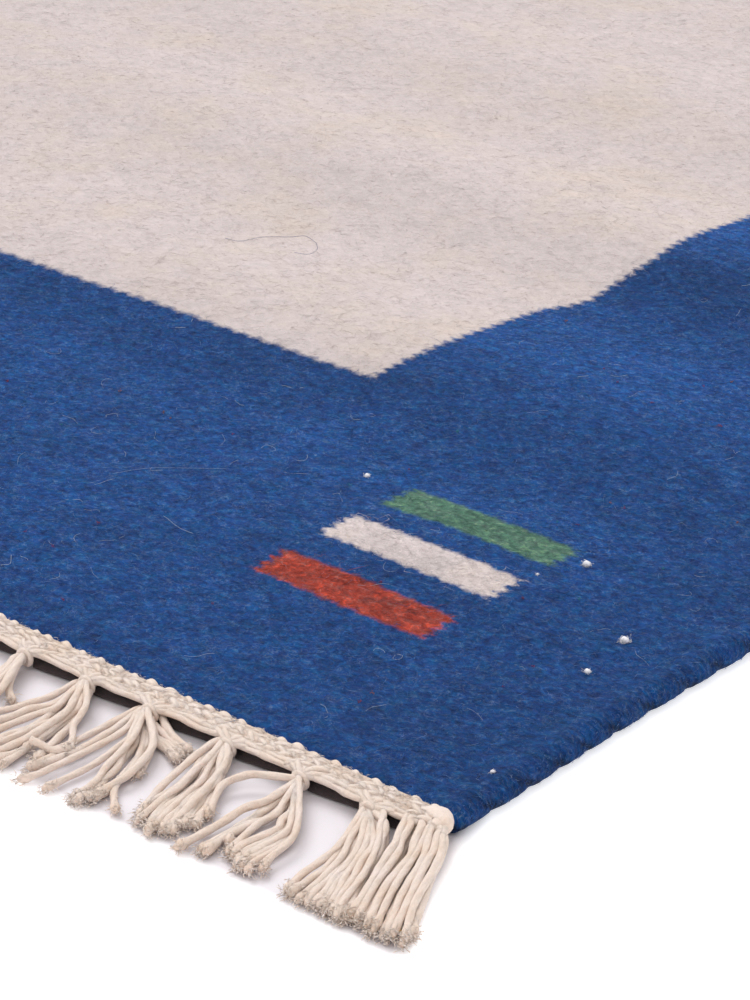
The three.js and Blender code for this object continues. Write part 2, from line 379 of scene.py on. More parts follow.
class Recipe:
    """A material written as nodes that end in one Principled shader."""

    def __init__(self, name):
        self.material = bpy.data.materials.new(name)
        self.material.use_nodes = True
        self.tree = self.material.node_tree
        self.shader = self.tree.nodes["Principled BSDF"]

    def feed(self, socket, value):
        if isinstance(value, Wire):
            self.tree.links.new(value.socket, socket)
        else:
            socket.default_value = value

    def node(self, kind, settings=None, values=None, result=0):
        """Add a node: first its settings, then its sockets' values or links. Gives one output."""
        made = self.tree.nodes.new(kind)
        for name, setting in (settings or {}).items():
            if name == "stops":
                self.set_stops(made.color_ramp, setting)
            else:
                setattr(made, name, setting)
        for key, value in (values or {}).items():
            self.feed(find_socket(made.inputs, key), value)
        return Wire(self, find_socket(made.outputs, result))

    def set_stops(self, ramp, stops):
        while len(ramp.elements) < len(stops):
            ramp.elements.new(0.5)
        for element, (position, colour) in zip(ramp.elements, stops):
            element.position = position
            element.color = (*colour, 1.0)

    def shade(self, values):
        for key, value in values.items():
            self.feed(self.shader.inputs[key], value)
        return self.material

    def place(self):
        """The place on the piece in millimetres."""
        return self.scaled(self.node("ShaderNodeTexCoord", result="Object"), METRE)

    def scaled(self, vector, factor):
        return self.node("ShaderNodeVectorMath", {"operation": "SCALE"}, {"Vector": vector, "Scale": factor})

    def stretched(self, vector, factors):
        return self.node("ShaderNodeVectorMath", {"operation": "MULTIPLY"}, {0: vector, 1: factors})

    def split(self, vector):
        separate = self.node("ShaderNodeSeparateXYZ", None, {0: vector})
        outputs = separate.socket.node.outputs
        return [Wire(self, outputs[axis]) for axis in range(3)]

    def noise(self, place, scale, detail=2.0, roughness=0.5, curl=0.0):
        """Noise about 0.5, with its scale in features to the millimetre."""
        values = {"Vector": place, "Scale": scale, "Detail": detail, "Roughness": roughness}
        return self.node("ShaderNodeTexNoise", None, {**values, "Distortion": curl})

    def threads(self, place, scale, width):
        """1 along thin curly lines, where the noise crosses its mean, and 0 between them."""
        curls = self.noise(place, scale, 2.5, 0.6, 1.4)
        return (abs(curls - 0.5) * (-1.0 / width) + 1.0).limited()

    def ramp(self, share, stops):
        return self.node("ShaderNodeValToRGB", {"stops": stops}, {0: share})

    def mix(self, first, second, share, blend="MIX"):
        settings = {"data_type": "RGBA", "clamp_factor": True, "blend_type": blend}
        values = {"Factor_Float": share, "A_Color": first, "B_Color": second}
        return self.node("ShaderNodeMix", settings, values, "Result_Color")

    def multiplied(self, first, second):
        return self.mix(first, second, 1.0, "MULTIPLY")

    def attribute(self, name, result="Fac"):
        settings = {"attribute_type": "GEOMETRY", "attribute_name": name}
        return self.node("ShaderNodeAttribute", settings, None, result)

    def bump(self, height):
        """A normal from a height in millimetres."""
        return self.node("ShaderNodeBump", None, {"Strength": 1.0, "Distance": 1 / METRE, "Height": height})


def opaque(colour):
    return (*colour, 1.0)


def darker(colour, factor):
    return tuple(channel * factor for channel in colour)


def tinted(colour, factors):
    return tuple(channel * factor for channel, factor in zip(colour, factors))


def by_mask(mask, outside, inside):
    """One number where the mask is 0 and another where it is 1."""
    return mask * (inside - outside) + outside


def edge_mask(distance, softness):
    """1 where the distance inside an edge is positive and 0 outside it, in a soft step."""
    return (distance / (2 * softness) + 0.5).limited()


def saw_teeth(along, pitch, depth):
    """The stepped edge where two wools take turns round a warp."""
    return (along * (TAU / pitch)).cosine() * depth


# The middle of the three bars along X, and each bar's wool and its middle along Y
BAR_X = 511.75
BARS = (("red", -835.5), ("cream", -810.5), ("green", -787.0))
BAR_TOOTH = 3.9
FIELD_TOOTH = 4.3

# How far the field's edge strays into the side border, by the share of the way from 700 to 500 mm below the
# rug's middle, at most FIELD_STRAY
FIELD_STRAY = 6.6
STRAY_STOPS = [
    (0.06, 0.0), (0.15, 0.0), (0.20, 0.16), (0.245, 0.80), (0.28, 1.0), (0.33, 0.86), (0.44, 0.86),
    (0.50, 0.56), (0.60, 0.34), (0.72, 0.22), (0.95, 0.0),
]


def pattern_masks(recipe, place):
    """Where the field and each bar are, with the small steps and hairs of a woven edge."""
    sizes = bpy.context.scene.kilim_sizes
    x, y, _ = recipe.split(place)
    fray = (recipe.noise(place, 0.66, 4.0, 0.68) - 0.5) * 5.0
    wander = (recipe.noise(place, 0.06, 1.0) - 0.5) * 2.4
    rib = saw_teeth(x + wander * 3.0, 2.3 * in_mm(sizes.warp_pitch), 0.5)
    step = saw_teeth(y + wander * 2.4, FIELD_TOOTH, 0.7)
    stray = recipe.ramp((y + 700) / 200, [(share, (size,) * 3) for share, size in STRAY_STOPS])
    half_field = stray * edge_mask(x, 100.0) * FIELD_STRAY + (HALF_WIDTH - in_mm(sizes.side_border))
    inside_x = half_field - abs(x) + step + fray * 1.1
    inside_y = (HALF_LENGTH - in_mm(sizes.end_border)) - abs(y) + rib + fray * 0.75
    masks = {"field": edge_mask(inside_x, 1.25) * edge_mask(inside_y, 1.15)}
    for colour, middle in BARS:
        teeth = saw_teeth(y + wander * 1.6, BAR_TOOTH, 0.9)
        end = in_mm(sizes.bar_length) / 2 - abs(x - BAR_X) + teeth + fray * 1.35
        side = in_mm(sizes.bar_width) / 2 - abs(y - middle) + rib * 0.6 + fray * 0.6
        masks[colour] = edge_mask(end, 1.1) * edge_mask(side, 0.8)
    return masks


# The light and dark of dyed wool by its grain
SHADE_STOPS = [
    (0.27, (0.36, 0.34, 0.40)),
    (0.42, (0.76, 0.75, 0.79)),
    (0.56, (1.14, 1.14, 1.10)),
    (0.74, (2.60, 2.10, 1.62)),
]
PALE_THREAD = (0.115, 0.175, 0.32)
BROWN_FLECK = (0.46, 0.34, 0.25)
BLEACHED = (0.55, 0.66, 0.84)
CREAM_BAR_LIGHTNESS = 1.17


class WoolGrain:
    """How uneven hand-carded wool is at each place: in grain, dye, patches, and loose threads."""

    def __init__(self, recipe, place):
        longer = recipe.stretched(place, (0.7, 1.0, 1.0))
        self.dashes = recipe.noise(recipe.stretched(place, (0.85, 1.0, 1.0)), 0.43, 5.0, 0.66, 0.9)
        self.hue = recipe.noise(longer, 0.42, 3.0, 0.6)
        self.patch = recipe.noise(place, 0.022, 2.0)
        self.mottle = recipe.noise(longer, 0.11, 3.0, 0.6)
        self.nubs = recipe.noise(place, 0.24, 2.0, 0.5, 0.4)
        self.pale_threads = recipe.threads(place, 0.36, 0.034) * recipe.noise(place, 0.21, 1.0)
        self.dark_threads = recipe.threads(recipe.stretched(place, (0.8, 1.0, 1.0)), 0.47, 0.045)


def blue_wool(recipe, grain, blue):
    """Blue that turns to teal and violet, with a few pale threads."""
    teal = tinted(blue, (0.9, 1.26, 1.02))
    violet = tinted(blue, (2.2, 0.86, 0.92))
    dyed = recipe.ramp(grain.hue, [(0.32, teal), (0.5, blue), (0.70, violet)])
    return recipe.mix(dyed, opaque(PALE_THREAD), grain.pale_threads)


def cream_wool(recipe, place, grain, cream):
    """Undyed wool, tan in its hollows, with sallow patches and brown flecks."""
    tan = tinted(cream, (0.84, 0.77, 0.70))
    pale = tinted(cream, (1.06, 1.075, 1.085))
    sallow = tinted(cream, (0.95, 0.925, 0.86))
    duller = darker(cream, 0.98)
    mellow = recipe.ramp(grain.dashes, [(0.24, tan), (0.40, duller), (0.60, cream), (0.78, pale)])
    yellowing = (grain.patch - 0.45) * 3.0 + (grain.mottle - 0.5) * 2.0
    mellow = recipe.mix(mellow, opaque(sallow), yellowing.limited())
    crowding = grain.patch + recipe.noise(place, 0.09) - 0.35
    flecks = (recipe.noise(place, 1.15, 3.0, 0.7, 0.6) - 0.615) * 9.0 * crowding
    return recipe.mix(mellow, opaque(BROWN_FLECK), flecks.limited() * 0.75)


def bar_wool(recipe, grain, dye):
    """Dyed wool that has faded here and there."""
    faded = tuple(channel * 0.72 + 0.085 for channel in dye)
    fading = grain.pale_threads * 1.6 + (grain.hue - 0.5) * 2.2
    return recipe.mix(opaque(dye), opaque(faded), fading.limited())


def wool_colour(recipe, place, lightness):
    """The wools by the pattern. Gives their colour, their grain and the pattern's masks."""
    colours = bpy.context.scene.kilim_colours
    masks = pattern_masks(recipe, place)
    grain = WoolGrain(recipe, place)
    shade = recipe.ramp(grain.dashes, SHADE_STOPS)
    undyed = cream_wool(recipe, place, grain, tuple(colours.cream))
    border = recipe.multiplied(blue_wool(recipe, grain, tuple(colours.blue)), shade)
    colour = recipe.mix(border, undyed, masks["field"])
    for name, _ in BARS:
        if name == "cream":
            yarn = recipe.scaled(undyed, CREAM_BAR_LIGHTNESS)
        else:
            yarn = recipe.multiplied(bar_wool(recipe, grain, tuple(getattr(colours, name))), shade)
        colour = recipe.mix(colour, yarn, masks[name])
    clouds = ((grain.patch - 0.5) * 0.20 + (grain.mottle - 0.5) * 0.50) * by_mask(masks["field"], 1.0, 0.4)
    # Painted light and shade on the lumps of the field, from a noise
    painted_lump_shading = (grain.nubs - 0.5) * by_mask(masks["field"], 0.0, 0.20)
    shadows = grain.dark_threads * by_mask(masks["field"], -0.16, -0.08)
    return recipe.scaled(colour, clouds + painted_lump_shading + shadows + lightness), grain.dashes, masks


def wool_cloth_material():
    """Felted weft-faced wool: staggered floats over the warps, rubbed into a soft grain.

    Its colour holds painted shade in the grain's hollows, and painted light and shade on the ridges.
    """
    sizes = bpy.context.scene.kilim_sizes
    recipe = Recipe("felted_wool")
    place = recipe.place()
    x, y, _ = recipe.split(place)
    stir = (recipe.noise(place, 0.30, 2.0) - 0.5) * 3.0
    stir_along = (recipe.noise(place, 0.21, 2.0) - 0.5) * 4.4
    ribs = ((x + stir_along) * (math.pi / in_mm(sizes.warp_pitch))).cosine()
    picks = ((y + stir) * (math.pi / in_mm(sizes.pick_pitch))).cosine()
    floats = ribs * picks * 0.5 + 0.5
    wraps = ((y + stir) * (TAU / 2.2)).cosine() * 0.5 + 0.5
    at_edge = edge_mask(abs(x) - (HALF_WIDTH - 5.5), 2.0)
    turns = floats + (wraps * 2.0 - floats) * at_edge
    felt = recipe.noise(recipe.stretched(place, (0.85, 1.0, 1.0)), 0.56, 5.0, 0.66, 0.9)
    grain = recipe.noise(recipe.stretched(place, (0.6, 1.0, 1.0)), 2.6, 3.0, 0.6)
    colour, dashes, masks = wool_colour(recipe, place, 0.835)
    deep = by_mask(masks["field"], 1.0, 0.45)
    worn = recipe.attribute("worn") * by_mask(masks["field"], 2.2, 0.6)
    # Painted shading of the colour: the grain's hollows, the ridges' light and shade, and the face's shade
    painted_shading = (turns * 0.10 + felt * 0.30 - 0.20) * deep + worn + recipe.attribute("lit")
    height = (turns * 0.14 + felt * 0.80 + dashes * 0.30) * deep + grain * 0.12
    return recipe.shade({
        "Base Color": recipe.scaled(colour, painted_shading),
        "Roughness": 0.95,
        "Specular IOR Level": 0.12,
        "Sheen Weight": 0.03,
        "Sheen Roughness": 0.55,
        "Sheen Tint": (0.86, 0.92, 1.0, 1.0),
        "Normal": recipe.bump(height),
    })


def wool_fuzz_material():
    """Loose fibres, each dyed as the yarn at its root, a few of them left pale."""
    recipe = Recipe("wool_fuzz")
    root = recipe.attribute("root", "Vector")
    tone = recipe.attribute("tone")
    colour, _, masks = wool_colour(recipe, root, 0.85)
    toned = recipe.scaled(colour, (tone - 1.0) * by_mask(masks["field"], 1.0, 0.4) + 1.0)
    bleached = recipe.mix(colour, opaque(BLEACHED), by_mask(masks["field"], 0.34, 0.08))
    return recipe.shade({
        "Base Color": recipe.mix(toned, bleached, recipe.attribute("pale")),
        "Roughness": 0.8,
        "Specular IOR Level": 0.25,
    })


def speck_material():
    """Lint and stray hairs, coloured one by one."""
    recipe = Recipe("stray_fibre")
    colour = recipe.attribute("dye", "Color")
    speckle = recipe.noise(recipe.place(), 1.6, 2.0) * 0.3 + 0.85
    return recipe.shade({
        "Base Color": recipe.scaled(colour, speckle),
        "Roughness": 0.8,
        "Specular IOR Level": 0.25,
    })


# The painted shadow under the heading's front
HEADING_SHADOW = (0.075, 0.058, 0.060)
# The share that turns the cotton to the painted shadow under the heading; shares up to 1 are dust on
# the cut ends, and painted shade on the heading's body and the fringe's low fibres
IN_SHADE = 2.0


def cotton_material(name, twist, lightness):
    """Plied undyed cotton with its twist, fine fibres, and dust on the cut ends.

    It also carries painted shade: on the heading's body, on low fibres of the fringe, and under the heading.
    """
    colours = bpy.context.scene.kilim_colours
    recipe = Recipe(name)
    place = recipe.place()
    along, around, _ = recipe.split(recipe.node("ShaderNodeTexCoord", result="UV"))
    plies = ((along * twist + around * 3.0) * TAU).cosine() * 0.5 + 0.5
    fibres = recipe.noise(place, 1.5, 4.0, 0.65)
    cloudy = recipe.noise(place, 0.16, 3.0, 0.6)
    soil = recipe.attribute("soil")
    cotton = tuple(colours.cotton)
    warm = tinted(cotton, (0.96, 0.92, 0.87))
    cool = tinted(cotton, (1.02, 1.02, 1.05))
    yarn = recipe.ramp(cloudy, [(0.32, warm), (0.52, cotton), (0.70, cool)])
    # Dust on the cut ends, and painted shade on the heading's body and the fringe's low fibres
    darkening = recipe.mix(yarn, opaque(colours.soil), (soil + (fibres - 0.5) * 0.5 * soil).limited())
    shaded = recipe.mix(darkening, opaque(HEADING_SHADOW), (soil - 1.0).limited())
    # The plies are a little lighter on their crests, as painted shade in the twist's grooves
    level = (fibres - 0.5) * 0.24 + plies * 0.05 + lightness
    height = plies * 0.10 + fibres * 0.42
    return recipe.shade({
        "Base Color": recipe.scaled(shaded, level),
        "Subsurface Weight": 0.35,
        "Subsurface Radius": (1.0, 0.95, 0.9),
        "Subsurface Scale": 0.0008,
        "Roughness": 0.9,
        "Specular IOR Level": 0.15,
        "Sheen Weight": 0.05,
        "Normal": recipe.bump(height),
    })


# Where the floor gets painted shade between the tassels: how fast it spreads past the cloth's sides,
# and how far it reaches
TASSEL_SPREAD = 0.45
TASSEL_REACH = 45.0
# How far the floor's painted glow goes, beside the rug and past its ends
GLOW_ASIDE = 60.0
GLOW_PAST_ENDS = 110.0


def floor_material():
    """A pale floor, with painted shade between the tassels and a painted glow round the rug over its shadow.
    """
    recipe = Recipe("pale_floor")
    colour = tuple(bpy.context.scene.kilim_stage.floor)
    place = recipe.place()
    x, y, _ = recipe.split(place)
    out = abs(y) - HALF_LENGTH
    aside = abs(x) - HALF_WIDTH
    # Painted shade on the floor between the tassels
    painted_tassel_shade = edge_mask(out * TASSEL_SPREAD + 1.0 - aside, 3.0) * edge_mask(TASSEL_REACH - out, 3.0)
    round_it = edge_mask(GLOW_ASIDE - aside, 20.0) * edge_mask(GLOW_PAST_ENDS - out, 20.0)
    drift = recipe.noise(place, 0.004, 2.0)
    open_floor = recipe.ramp(drift, [(0.3, darker(colour, 0.985)), (0.7, colour)])
    shaded = tinted(colour, (0.84, 0.80, 0.83))
    fine = recipe.noise(place, 0.6, 2.0) * 0.02
    # A painted glow round the rug, but not between the tassels, that washes out the rug's shadow
    painted_glow = round_it * (1.0 - painted_tassel_shade)
    return recipe.shade({
        "Base Color": recipe.mix(open_floor, opaque(shaded), painted_tassel_shade),
        "Emission Color": recipe.mix((0.0, 0.0, 0.0, 1.0), (1.0, 1.0, 1.0, 1.0), painted_glow),
        "Emission Strength": 0.55,
        "Roughness": 0.8,
        "Normal": recipe.bump(fine),
    })


# Meshes


class Stock:
    """Corners and faces gathered for one joined mesh, in millimetres."""

    def __init__(self):
        self.count = 0
        self.places = []
        self.faces = {3: [], 4: []}
        self.uvs = {3: [], 4: []}
        self.shades = {}

    def add(self, places, faces, uvs=None, **shades):
        """Add corners and lists of faces by their number of sides, with a value or colour to each corner."""
        for sides, rows in faces.items():
            if len(rows):
                self.faces[sides].append(rows + self.count)
                given = None if uvs is None else uvs.get(sides)
                self.uvs[sides].append(np.zeros((len(rows), sides, 2)) if given is None else given)
        self.places.append(places)
        self.count += len(places)
        for name, values in shades.items():
            self.shades.setdefault(name, []).append(values)


def make_mesh(name, stock):
    """A stock as one smooth-shaded mesh in metres, with its shades."""
    mesh = bpy.data.meshes.new(name)
    places = np.concatenate(stock.places) / METRE
    counts, corners, uvs = [], [], []
    for sides in (4, 3):
        if stock.faces[sides]:
            rows = np.concatenate(stock.faces[sides])
            counts.append(np.full(len(rows), sides))
            corners.append(rows.ravel())
            uvs.append(np.concatenate(stock.uvs[sides]).reshape(-1, 2))
    counts = np.concatenate(counts)
    corners = np.concatenate(corners)
    mesh.vertices.add(len(places))
    mesh.vertices.foreach_set("co", places.astype(np.float32).ravel())
    mesh.loops.add(len(corners))
    mesh.loops.foreach_set("vertex_index", corners.astype(np.int32))
    mesh.polygons.add(len(counts))
    starts = np.concatenate([[0], np.cumsum(counts)[:-1]])
    mesh.polygons.foreach_set("loop_start", starts.astype(np.int32))
    mesh.polygons.foreach_set("use_smooth", np.ones(len(counts), dtype=bool))
    mesh.update(calc_edges=True)
    layer = mesh.uv_layers.new(name="along_and_round")
    layer.data.foreach_set("uv", np.concatenate(uvs).astype(np.float32).ravel())
    for shade, lists in stock.shades.items():
        add_shade(mesh, shade, np.concatenate(lists))
    return mesh


def build_piece(name, stock, material):
    """One piece from a stock, with its finish. It rides on the rug's only body."""
    mesh = make_mesh(name, stock)
    mesh.materials.append(material)
    mesh.validate()
    piece = bpy.data.objects.new(name, mesh)
    bpy.context.collection.objects.link(piece)
    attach(piece, "root")
    return piece


def add_shade(mesh, name, values):
    """A value, vector or colour at each corner, which a material reads by its name."""
    kinds = {1: ("FLOAT", "value"), 3: ("FLOAT_VECTOR", "vector"), 4: ("FLOAT_COLOR", "color")}
    width = 1 if values.ndim == 1 else values.shape[1]
    kind, field = kinds[width]
    layer = mesh.attributes.new(name, kind, "POINT")
    layer.data.foreach_set(field, values.astype(np.float32).ravel())


def unit(vectors):
    lengths = np.linalg.norm(vectors, axis=-1, keepdims=True)
    return vectors / np.maximum(lengths, 1e-9)


def smooth_path(points, steps):
    """A smooth curve through the points, with a number of steps between each two."""
    points = np.asarray(points, float)
    ends = np.vstack([2 * points[0] - points[1], points, 2 * points[-1] - points[-2]])
    share = np.linspace(0, 1, steps, endpoint=False)[:, None]
    pieces = []
    for first, start, finish, last in zip(ends, ends[1:], ends[2:], ends[3:]):
        pieces.append(0.5 * (
            2 * start
            + (finish - first) * share
            + (2 * first - 5 * start + 4 * finish - last) * share**2
            + (3 * start - first - 3 * finish + last) * share**3
        ))
    return np.vstack([*pieces, points[-1:]])


def spokes_round(way, angles, reference=UP):
    """Directions of length 1 round each way, at the given angles from its side."""
    side = unit(np.cross(way, reference))
    top = np.cross(side, way)
    return np.cos(angles)[None, :, None] * side[:, None] + np.sin(angles)[None, :, None] * top[:, None]


def add_tube(stock, path, radii, sides, reference=UP, **shades):
    """A closed round tube along a path. A shade has one value for each place on the path."""
    path = np.asarray(path, float)
    radii = np.broadcast_to(np.asarray(radii, float), (len(path),))
    way = unit(np.gradient(path, axis=0))
    spokes = spokes_round(way, np.linspace(0, TAU, sides, endpoint=False), reference)
    add_loft(stock, path[:, None] + spokes * radii[:, None, None], **shades)


def patches(rings, sides):
    """The patches of a skin over closed rings.

    Gives the ring and the corner that each one starts from, and then its four corners: this corner and the
    one after it, on this ring and on the next.
    """
    ring, corner = (index.ravel() for index in np.indices((rings - 1, sides)))
    after = (corner + 1) % sides
    here, there = ring * sides, (ring + 1) * sides
    return ring, corner, (here + corner, here + after, there + corner, there + after)


def add_loft(stock, sections, **shades):
    """A closed skin over sections, each a ring of corners, with a point at the middle of both ends."""
    rings, sides = sections.shape[:2]
    middles = sections.mean(axis=1)
    places = np.vstack([sections.reshape(-1, 3), middles[:1], middles[-1:]])
    ring, corner, (this, this_after, next_one, next_after) = patches(rings, sides)
    quads = np.stack([this, next_one, next_after, this_after], axis=1)
    spoke = np.arange(sides)
    following = (spoke + 1) % sides
    last = (rings - 1) * sides
    start_cap = np.stack([np.full(sides, rings * sides), spoke, following], axis=1)
    end_cap = np.stack([np.full(sides, rings * sides + 1), last + following, last + spoke], axis=1)
    lengths = np.concatenate([[0], np.cumsum(np.linalg.norm(np.diff(middles, axis=0), axis=1))])
    along = np.stack([lengths[ring], lengths[ring + 1], lengths[ring + 1], lengths[ring]], axis=1)
    around = np.stack([corner, corner, corner + 1, corner + 1], axis=1) / sides
    spread = {name: spread_shade(values, rings, sides) for name, values in shades.items()}
    stock.add(
        places,
        {4: quads, 3: np.vstack([start_cap, end_cap])},
        {4: np.stack([along, around], axis=-1)},
        **spread,
    )


def spread_shade(values, rings, sides):
    """A shade for each ring of a tube, given to each of its corners and to the middles of its ends."""
    values = np.broadcast_to(np.asarray(values, float).T, np.shape(values)[1:] + (rings,)).T
    return np.concatenate([np.repeat(values, sides, axis=0), values[:1], values[-1:]])


def add_fibres(stock, roots, tips, bows, radius, rings=1, **shades):
    """Closed fine fibres, pointed at both ends. A shade has one value for each fibre."""
    count = len(roots)
    spokes = spokes_round(unit(tips - roots), np.arange(3) * TAU / 3, UP + 0.01)
    layers = [roots[:, None]]
    for ring in range(rings):
        share = (ring + 1) / (rings + 1)
        middle = roots * (1 - share) + tips * share + bows * 4 * share * (1 - share)
        layers.append(middle[:, None] + spokes * np.reshape(radius, (-1, 1, 1)))
    layers.append(tips[:, None])
    places = np.concatenate(layers, axis=1)
    each = places.shape[1]
    faces = []
    for spoke in range(3):
        after = (spoke + 1) % 3
        faces.append((0, 1 + after, 1 + spoke))
        for ring in range(rings - 1):
            here, there = 1 + 3 * ring, 4 + 3 * ring
            faces.append((here + spoke, here + after, there + after))
            faces.append((here + spoke, there + after, there + spoke))
        last = 1 + 3 * (rings - 1)
        faces.append((last + spoke, last + after, each - 1))
    rows = (np.arange(count)[:, None, None] * each + np.array(faces)[None]).reshape(-1, 3)
    spread = {name: np.repeat(values, each, axis=0) for name, values in shades.items()}
    stock.add(places.reshape(-1, 3), {3: rows}, None, **spread)


# The cloth


def swell(distance, reach):
    """A hump that is 1 at its crest and eases to nothing at its reach."""
    share = np.minimum(np.abs(distance) / reach, 1)
    return (1 + np.cos(np.pi * share)) / 2


def lift(x, y):
    """How high the ridges raise the cloth off the floor."""
    height = np.zeros(np.broadcast(x, y).shape)
    for middle_x, middle_y, length, width, crest, turn in RIDGES:
        angle = math.radians(turn)
        along = (x - middle_x) * math.cos(angle) + (y - middle_y) * math.sin(angle)
        across = (y - middle_y) * math.cos(angle) - (x - middle_x) * math.sin(angle)
        height += crest * swell(along, length) * swell(across, width)
    return height


def lumps(x, y):
    """Small unevenness of the beaten weft, which dies away at the cloth's ends."""
    height = np.zeros(np.broadcast(x, y).shape)
    for wave_x, wave_y, phase, size in LUMPS:
        height += size * np.sin(TAU * (x / wave_x + y / wave_y) + phase)
    return height * np.clip((HALF_LENGTH - np.abs(y)) / 12, 0, 1)


def cloth_rows():
    """Places of the skin's rows along Y, close at the near end, which the camera sees."""
    near = np.arange(-HALF_LENGTH + 2.4, NEAR_ROWS_END, NEAR_ROW)
    plain = np.linspace(NEAR_ROWS_END, HALF_LENGTH - 2.4, round((HALF_LENGTH - NEAR_ROWS_END) / PLAIN_ROW))
    end = np.array([0.0, 0.5, 1.3])
    return np.concatenate([end - HALF_LENGTH, near, plain, HALF_LENGTH - end[::-1]])


def cloth_section():
    """The whole section round the cloth, as places along X and heights."""
    inner = HALF_WIDTH - SELVEDGE[0][0]
    body = np.linspace(-inner, inner, round(2 * inner / BODY_COLUMN) + 1)[1:-1]
    under_inner = HALF_WIDTH - SELVEDGE[-1][0]
    under = np.linspace(under_inner, -under_inner, round(2 * under_inner / UNDER_COLUMN) + 1)[1:-1]
    right = [(HALF_WIDTH - inset, height) for inset, height in SELVEDGE]
    left = [(-x, height) for x, height in reversed(right)]
    points = [(x, FACE_HEIGHT) for x in body] + right + [(x, 0.0) for x in under] + left
    return np.array(points)


def selvedge_recess(x, y):
    """The recess between one turn of the weft round the outer warps and the next, also darkened as painted
    shade.
    """
    order = y / SCALLOP_PITCH + 0.18 * np.sin(y / 23) + 0.11 * np.sin(y / 9.1) + np.where(x > 0, 0.15, 0.6)
    return (0.5 + 0.5 * np.cos(TAU * order)) ** 5


# Patches of the face darkened as painted shade: middle, half lengths along X and Y, and depth
SHADE_PATCHES = (
    (438, -732, 15, 6, 0.16),
    (468, -611, 24, 13, 0.16),
    (560, -872, 70, 40, 0.08),
    (480, -893, 32, 6, 0.12),
    (576, -776, 20, 11, 0.12),
)


def painted_face_shade(x, y, height):
    """Painted shade on the face: darker by the selvedge, near the corner and in patches,
    and most in the selvedge's recesses and low down its side.
    """
    inset = HALF_WIDTH - np.abs(x)
    slanted = selvedge_recess(x, y + 1.6 * (height - 3))
    low = np.clip((5.6 - height) / 4, 0, 1)
    depth = 0.9 * slanted * np.clip(low * 2 + 0.5, 0, 1) + 0.32 * low
    painted_shading = np.clip(1 - inset / 7, 0, 1) * np.clip(depth, 0, 1)
    from_corner = np.hypot(inset, y + HALF_LENGTH)
    broad_shade = 0.12 * np.clip(1 - inset / 55, 0, 1) + 0.10 * np.clip(1 - from_corner / 190, 0, 1)
    for middle_x, middle_y, reach_x, reach_y, shade_depth in SHADE_PATCHES:
        broad_shade = broad_shade + shade_depth * np.exp(-((x - middle_x) / reach_x) ** 2 - ((y - middle_y) / reach_y) ** 2)
    return 1 - broad_shade - 0.62 * painted_shading


def painted_ridge_light(x, y):
    """Painted light and shade on the ridges: lighter on slopes facing away from the near end, darker facing
    it.
    """
    return np.clip((lift(x, y - 2) - lift(x, y + 2)) / 4, -0.12, 0.12)


def selvedge_shape(x, y, height):
    """Pulls the edge in between the weft's turns, and lets it wander a little."""
    inset = HALF_WIDTH - np.abs(x)
    at_edge = np.clip(1 - inset / 9, 0, 1)
    recess = selvedge_recess(x, y)
    turns = 0.10 * np.cos(TAU * (y / 3.7 + 0.2 * np.sin(y / 11)))
    wander = 0.5 * np.sin(y / 47) + 0.35 * np.sin(y / 19 + 1)
    pull = (SCALLOP_DEPTH * recess + turns) * at_edge + wander * np.clip(1 - inset / 40, 0, 1)
    sink = 0.5 * recess * at_edge * np.clip((height - 2.5) / 3, 0, 1)
    return x - np.sign(x) * pull, height - sink


def end_shape(y, height):
    """Rounds the face down to the heading at each end."""
    inset = HALF_LENGTH - np.abs(y)
    drop = 1.1 * np.clip(1 - inset / 2.4, 0, 1) ** 2
    return height - drop * np.clip(height / FACE_HEIGHT, 0, 1)


def weave_cloth():
    """The cloth's skin with its ridges and scalloped selvedges, and the painted light and shade at each
    place.
    """
    rows = cloth_rows()
    section = cloth_section()
    x = np.broadcast_to(section[:, 0], (len(rows), len(section)))
    y = np.broadcast_to(rows[:, None], x.shape)
    height = np.broadcast_to(section[:, 1], x.shape)
    raised = lift(x, y)
    face = np.clip(height / FACE_HEIGHT, 0, 1)
    uneven_height = end_shape(y, height) + lumps(x, y) * face
    moved_x, shaped = selvedge_shape(x, y, uneven_height)
    places = np.stack([moved_x, y, np.maximum(shaped, 0) + raised], axis=-1).reshape(-1, 3)
    around = len(section)
    this, this_after, next_one, next_after = patches(len(rows), around)[2]
    quads = np.stack([this, this_after, next_after, next_one], axis=1)
    stock = Stock()
    stock.add(places, {4: quads}, lit=painted_face_shade(x, y, height).ravel(), worn=painted_ridge_light(x, y).ravel())
    for base, flip in ((0, False), ((len(rows) - 1) * around, True)):
        add_end_cap(stock, places, base, around, flip)
    return stock


def add_end_cap(stock, places, base, around, flip):
    """Closes an end of the cloth with a fan of triangles round its middle."""
    ring = base + np.arange(around)
    middle = places[ring].mean(axis=0)[None]
    following = np.roll(ring, -1)
    centre = np.full(around, stock.count)
    rows = np.stack([centre, ring, following] if flip else [centre, following, ring], axis=1)
    stock.faces[3].append(rows)
    stock.uvs[3].append(np.zeros((around, 3, 2)))
    stock.places.append(middle)
    for shade in ("lit", "worn"):
        stock.shades[shade].append(np.ones(1))
    stock.count += 1


# What the camera sees


# The distance from the camera within which a place counts as near, and how fast others fall off past it
NEAR_REACH = 860
FALL_OFF = 2.6
# The share of half the view at which a place counts as outside it, and the width of the step to there
OUTSIDE_VIEW = 1.30
VIEW_STEP = 0.26


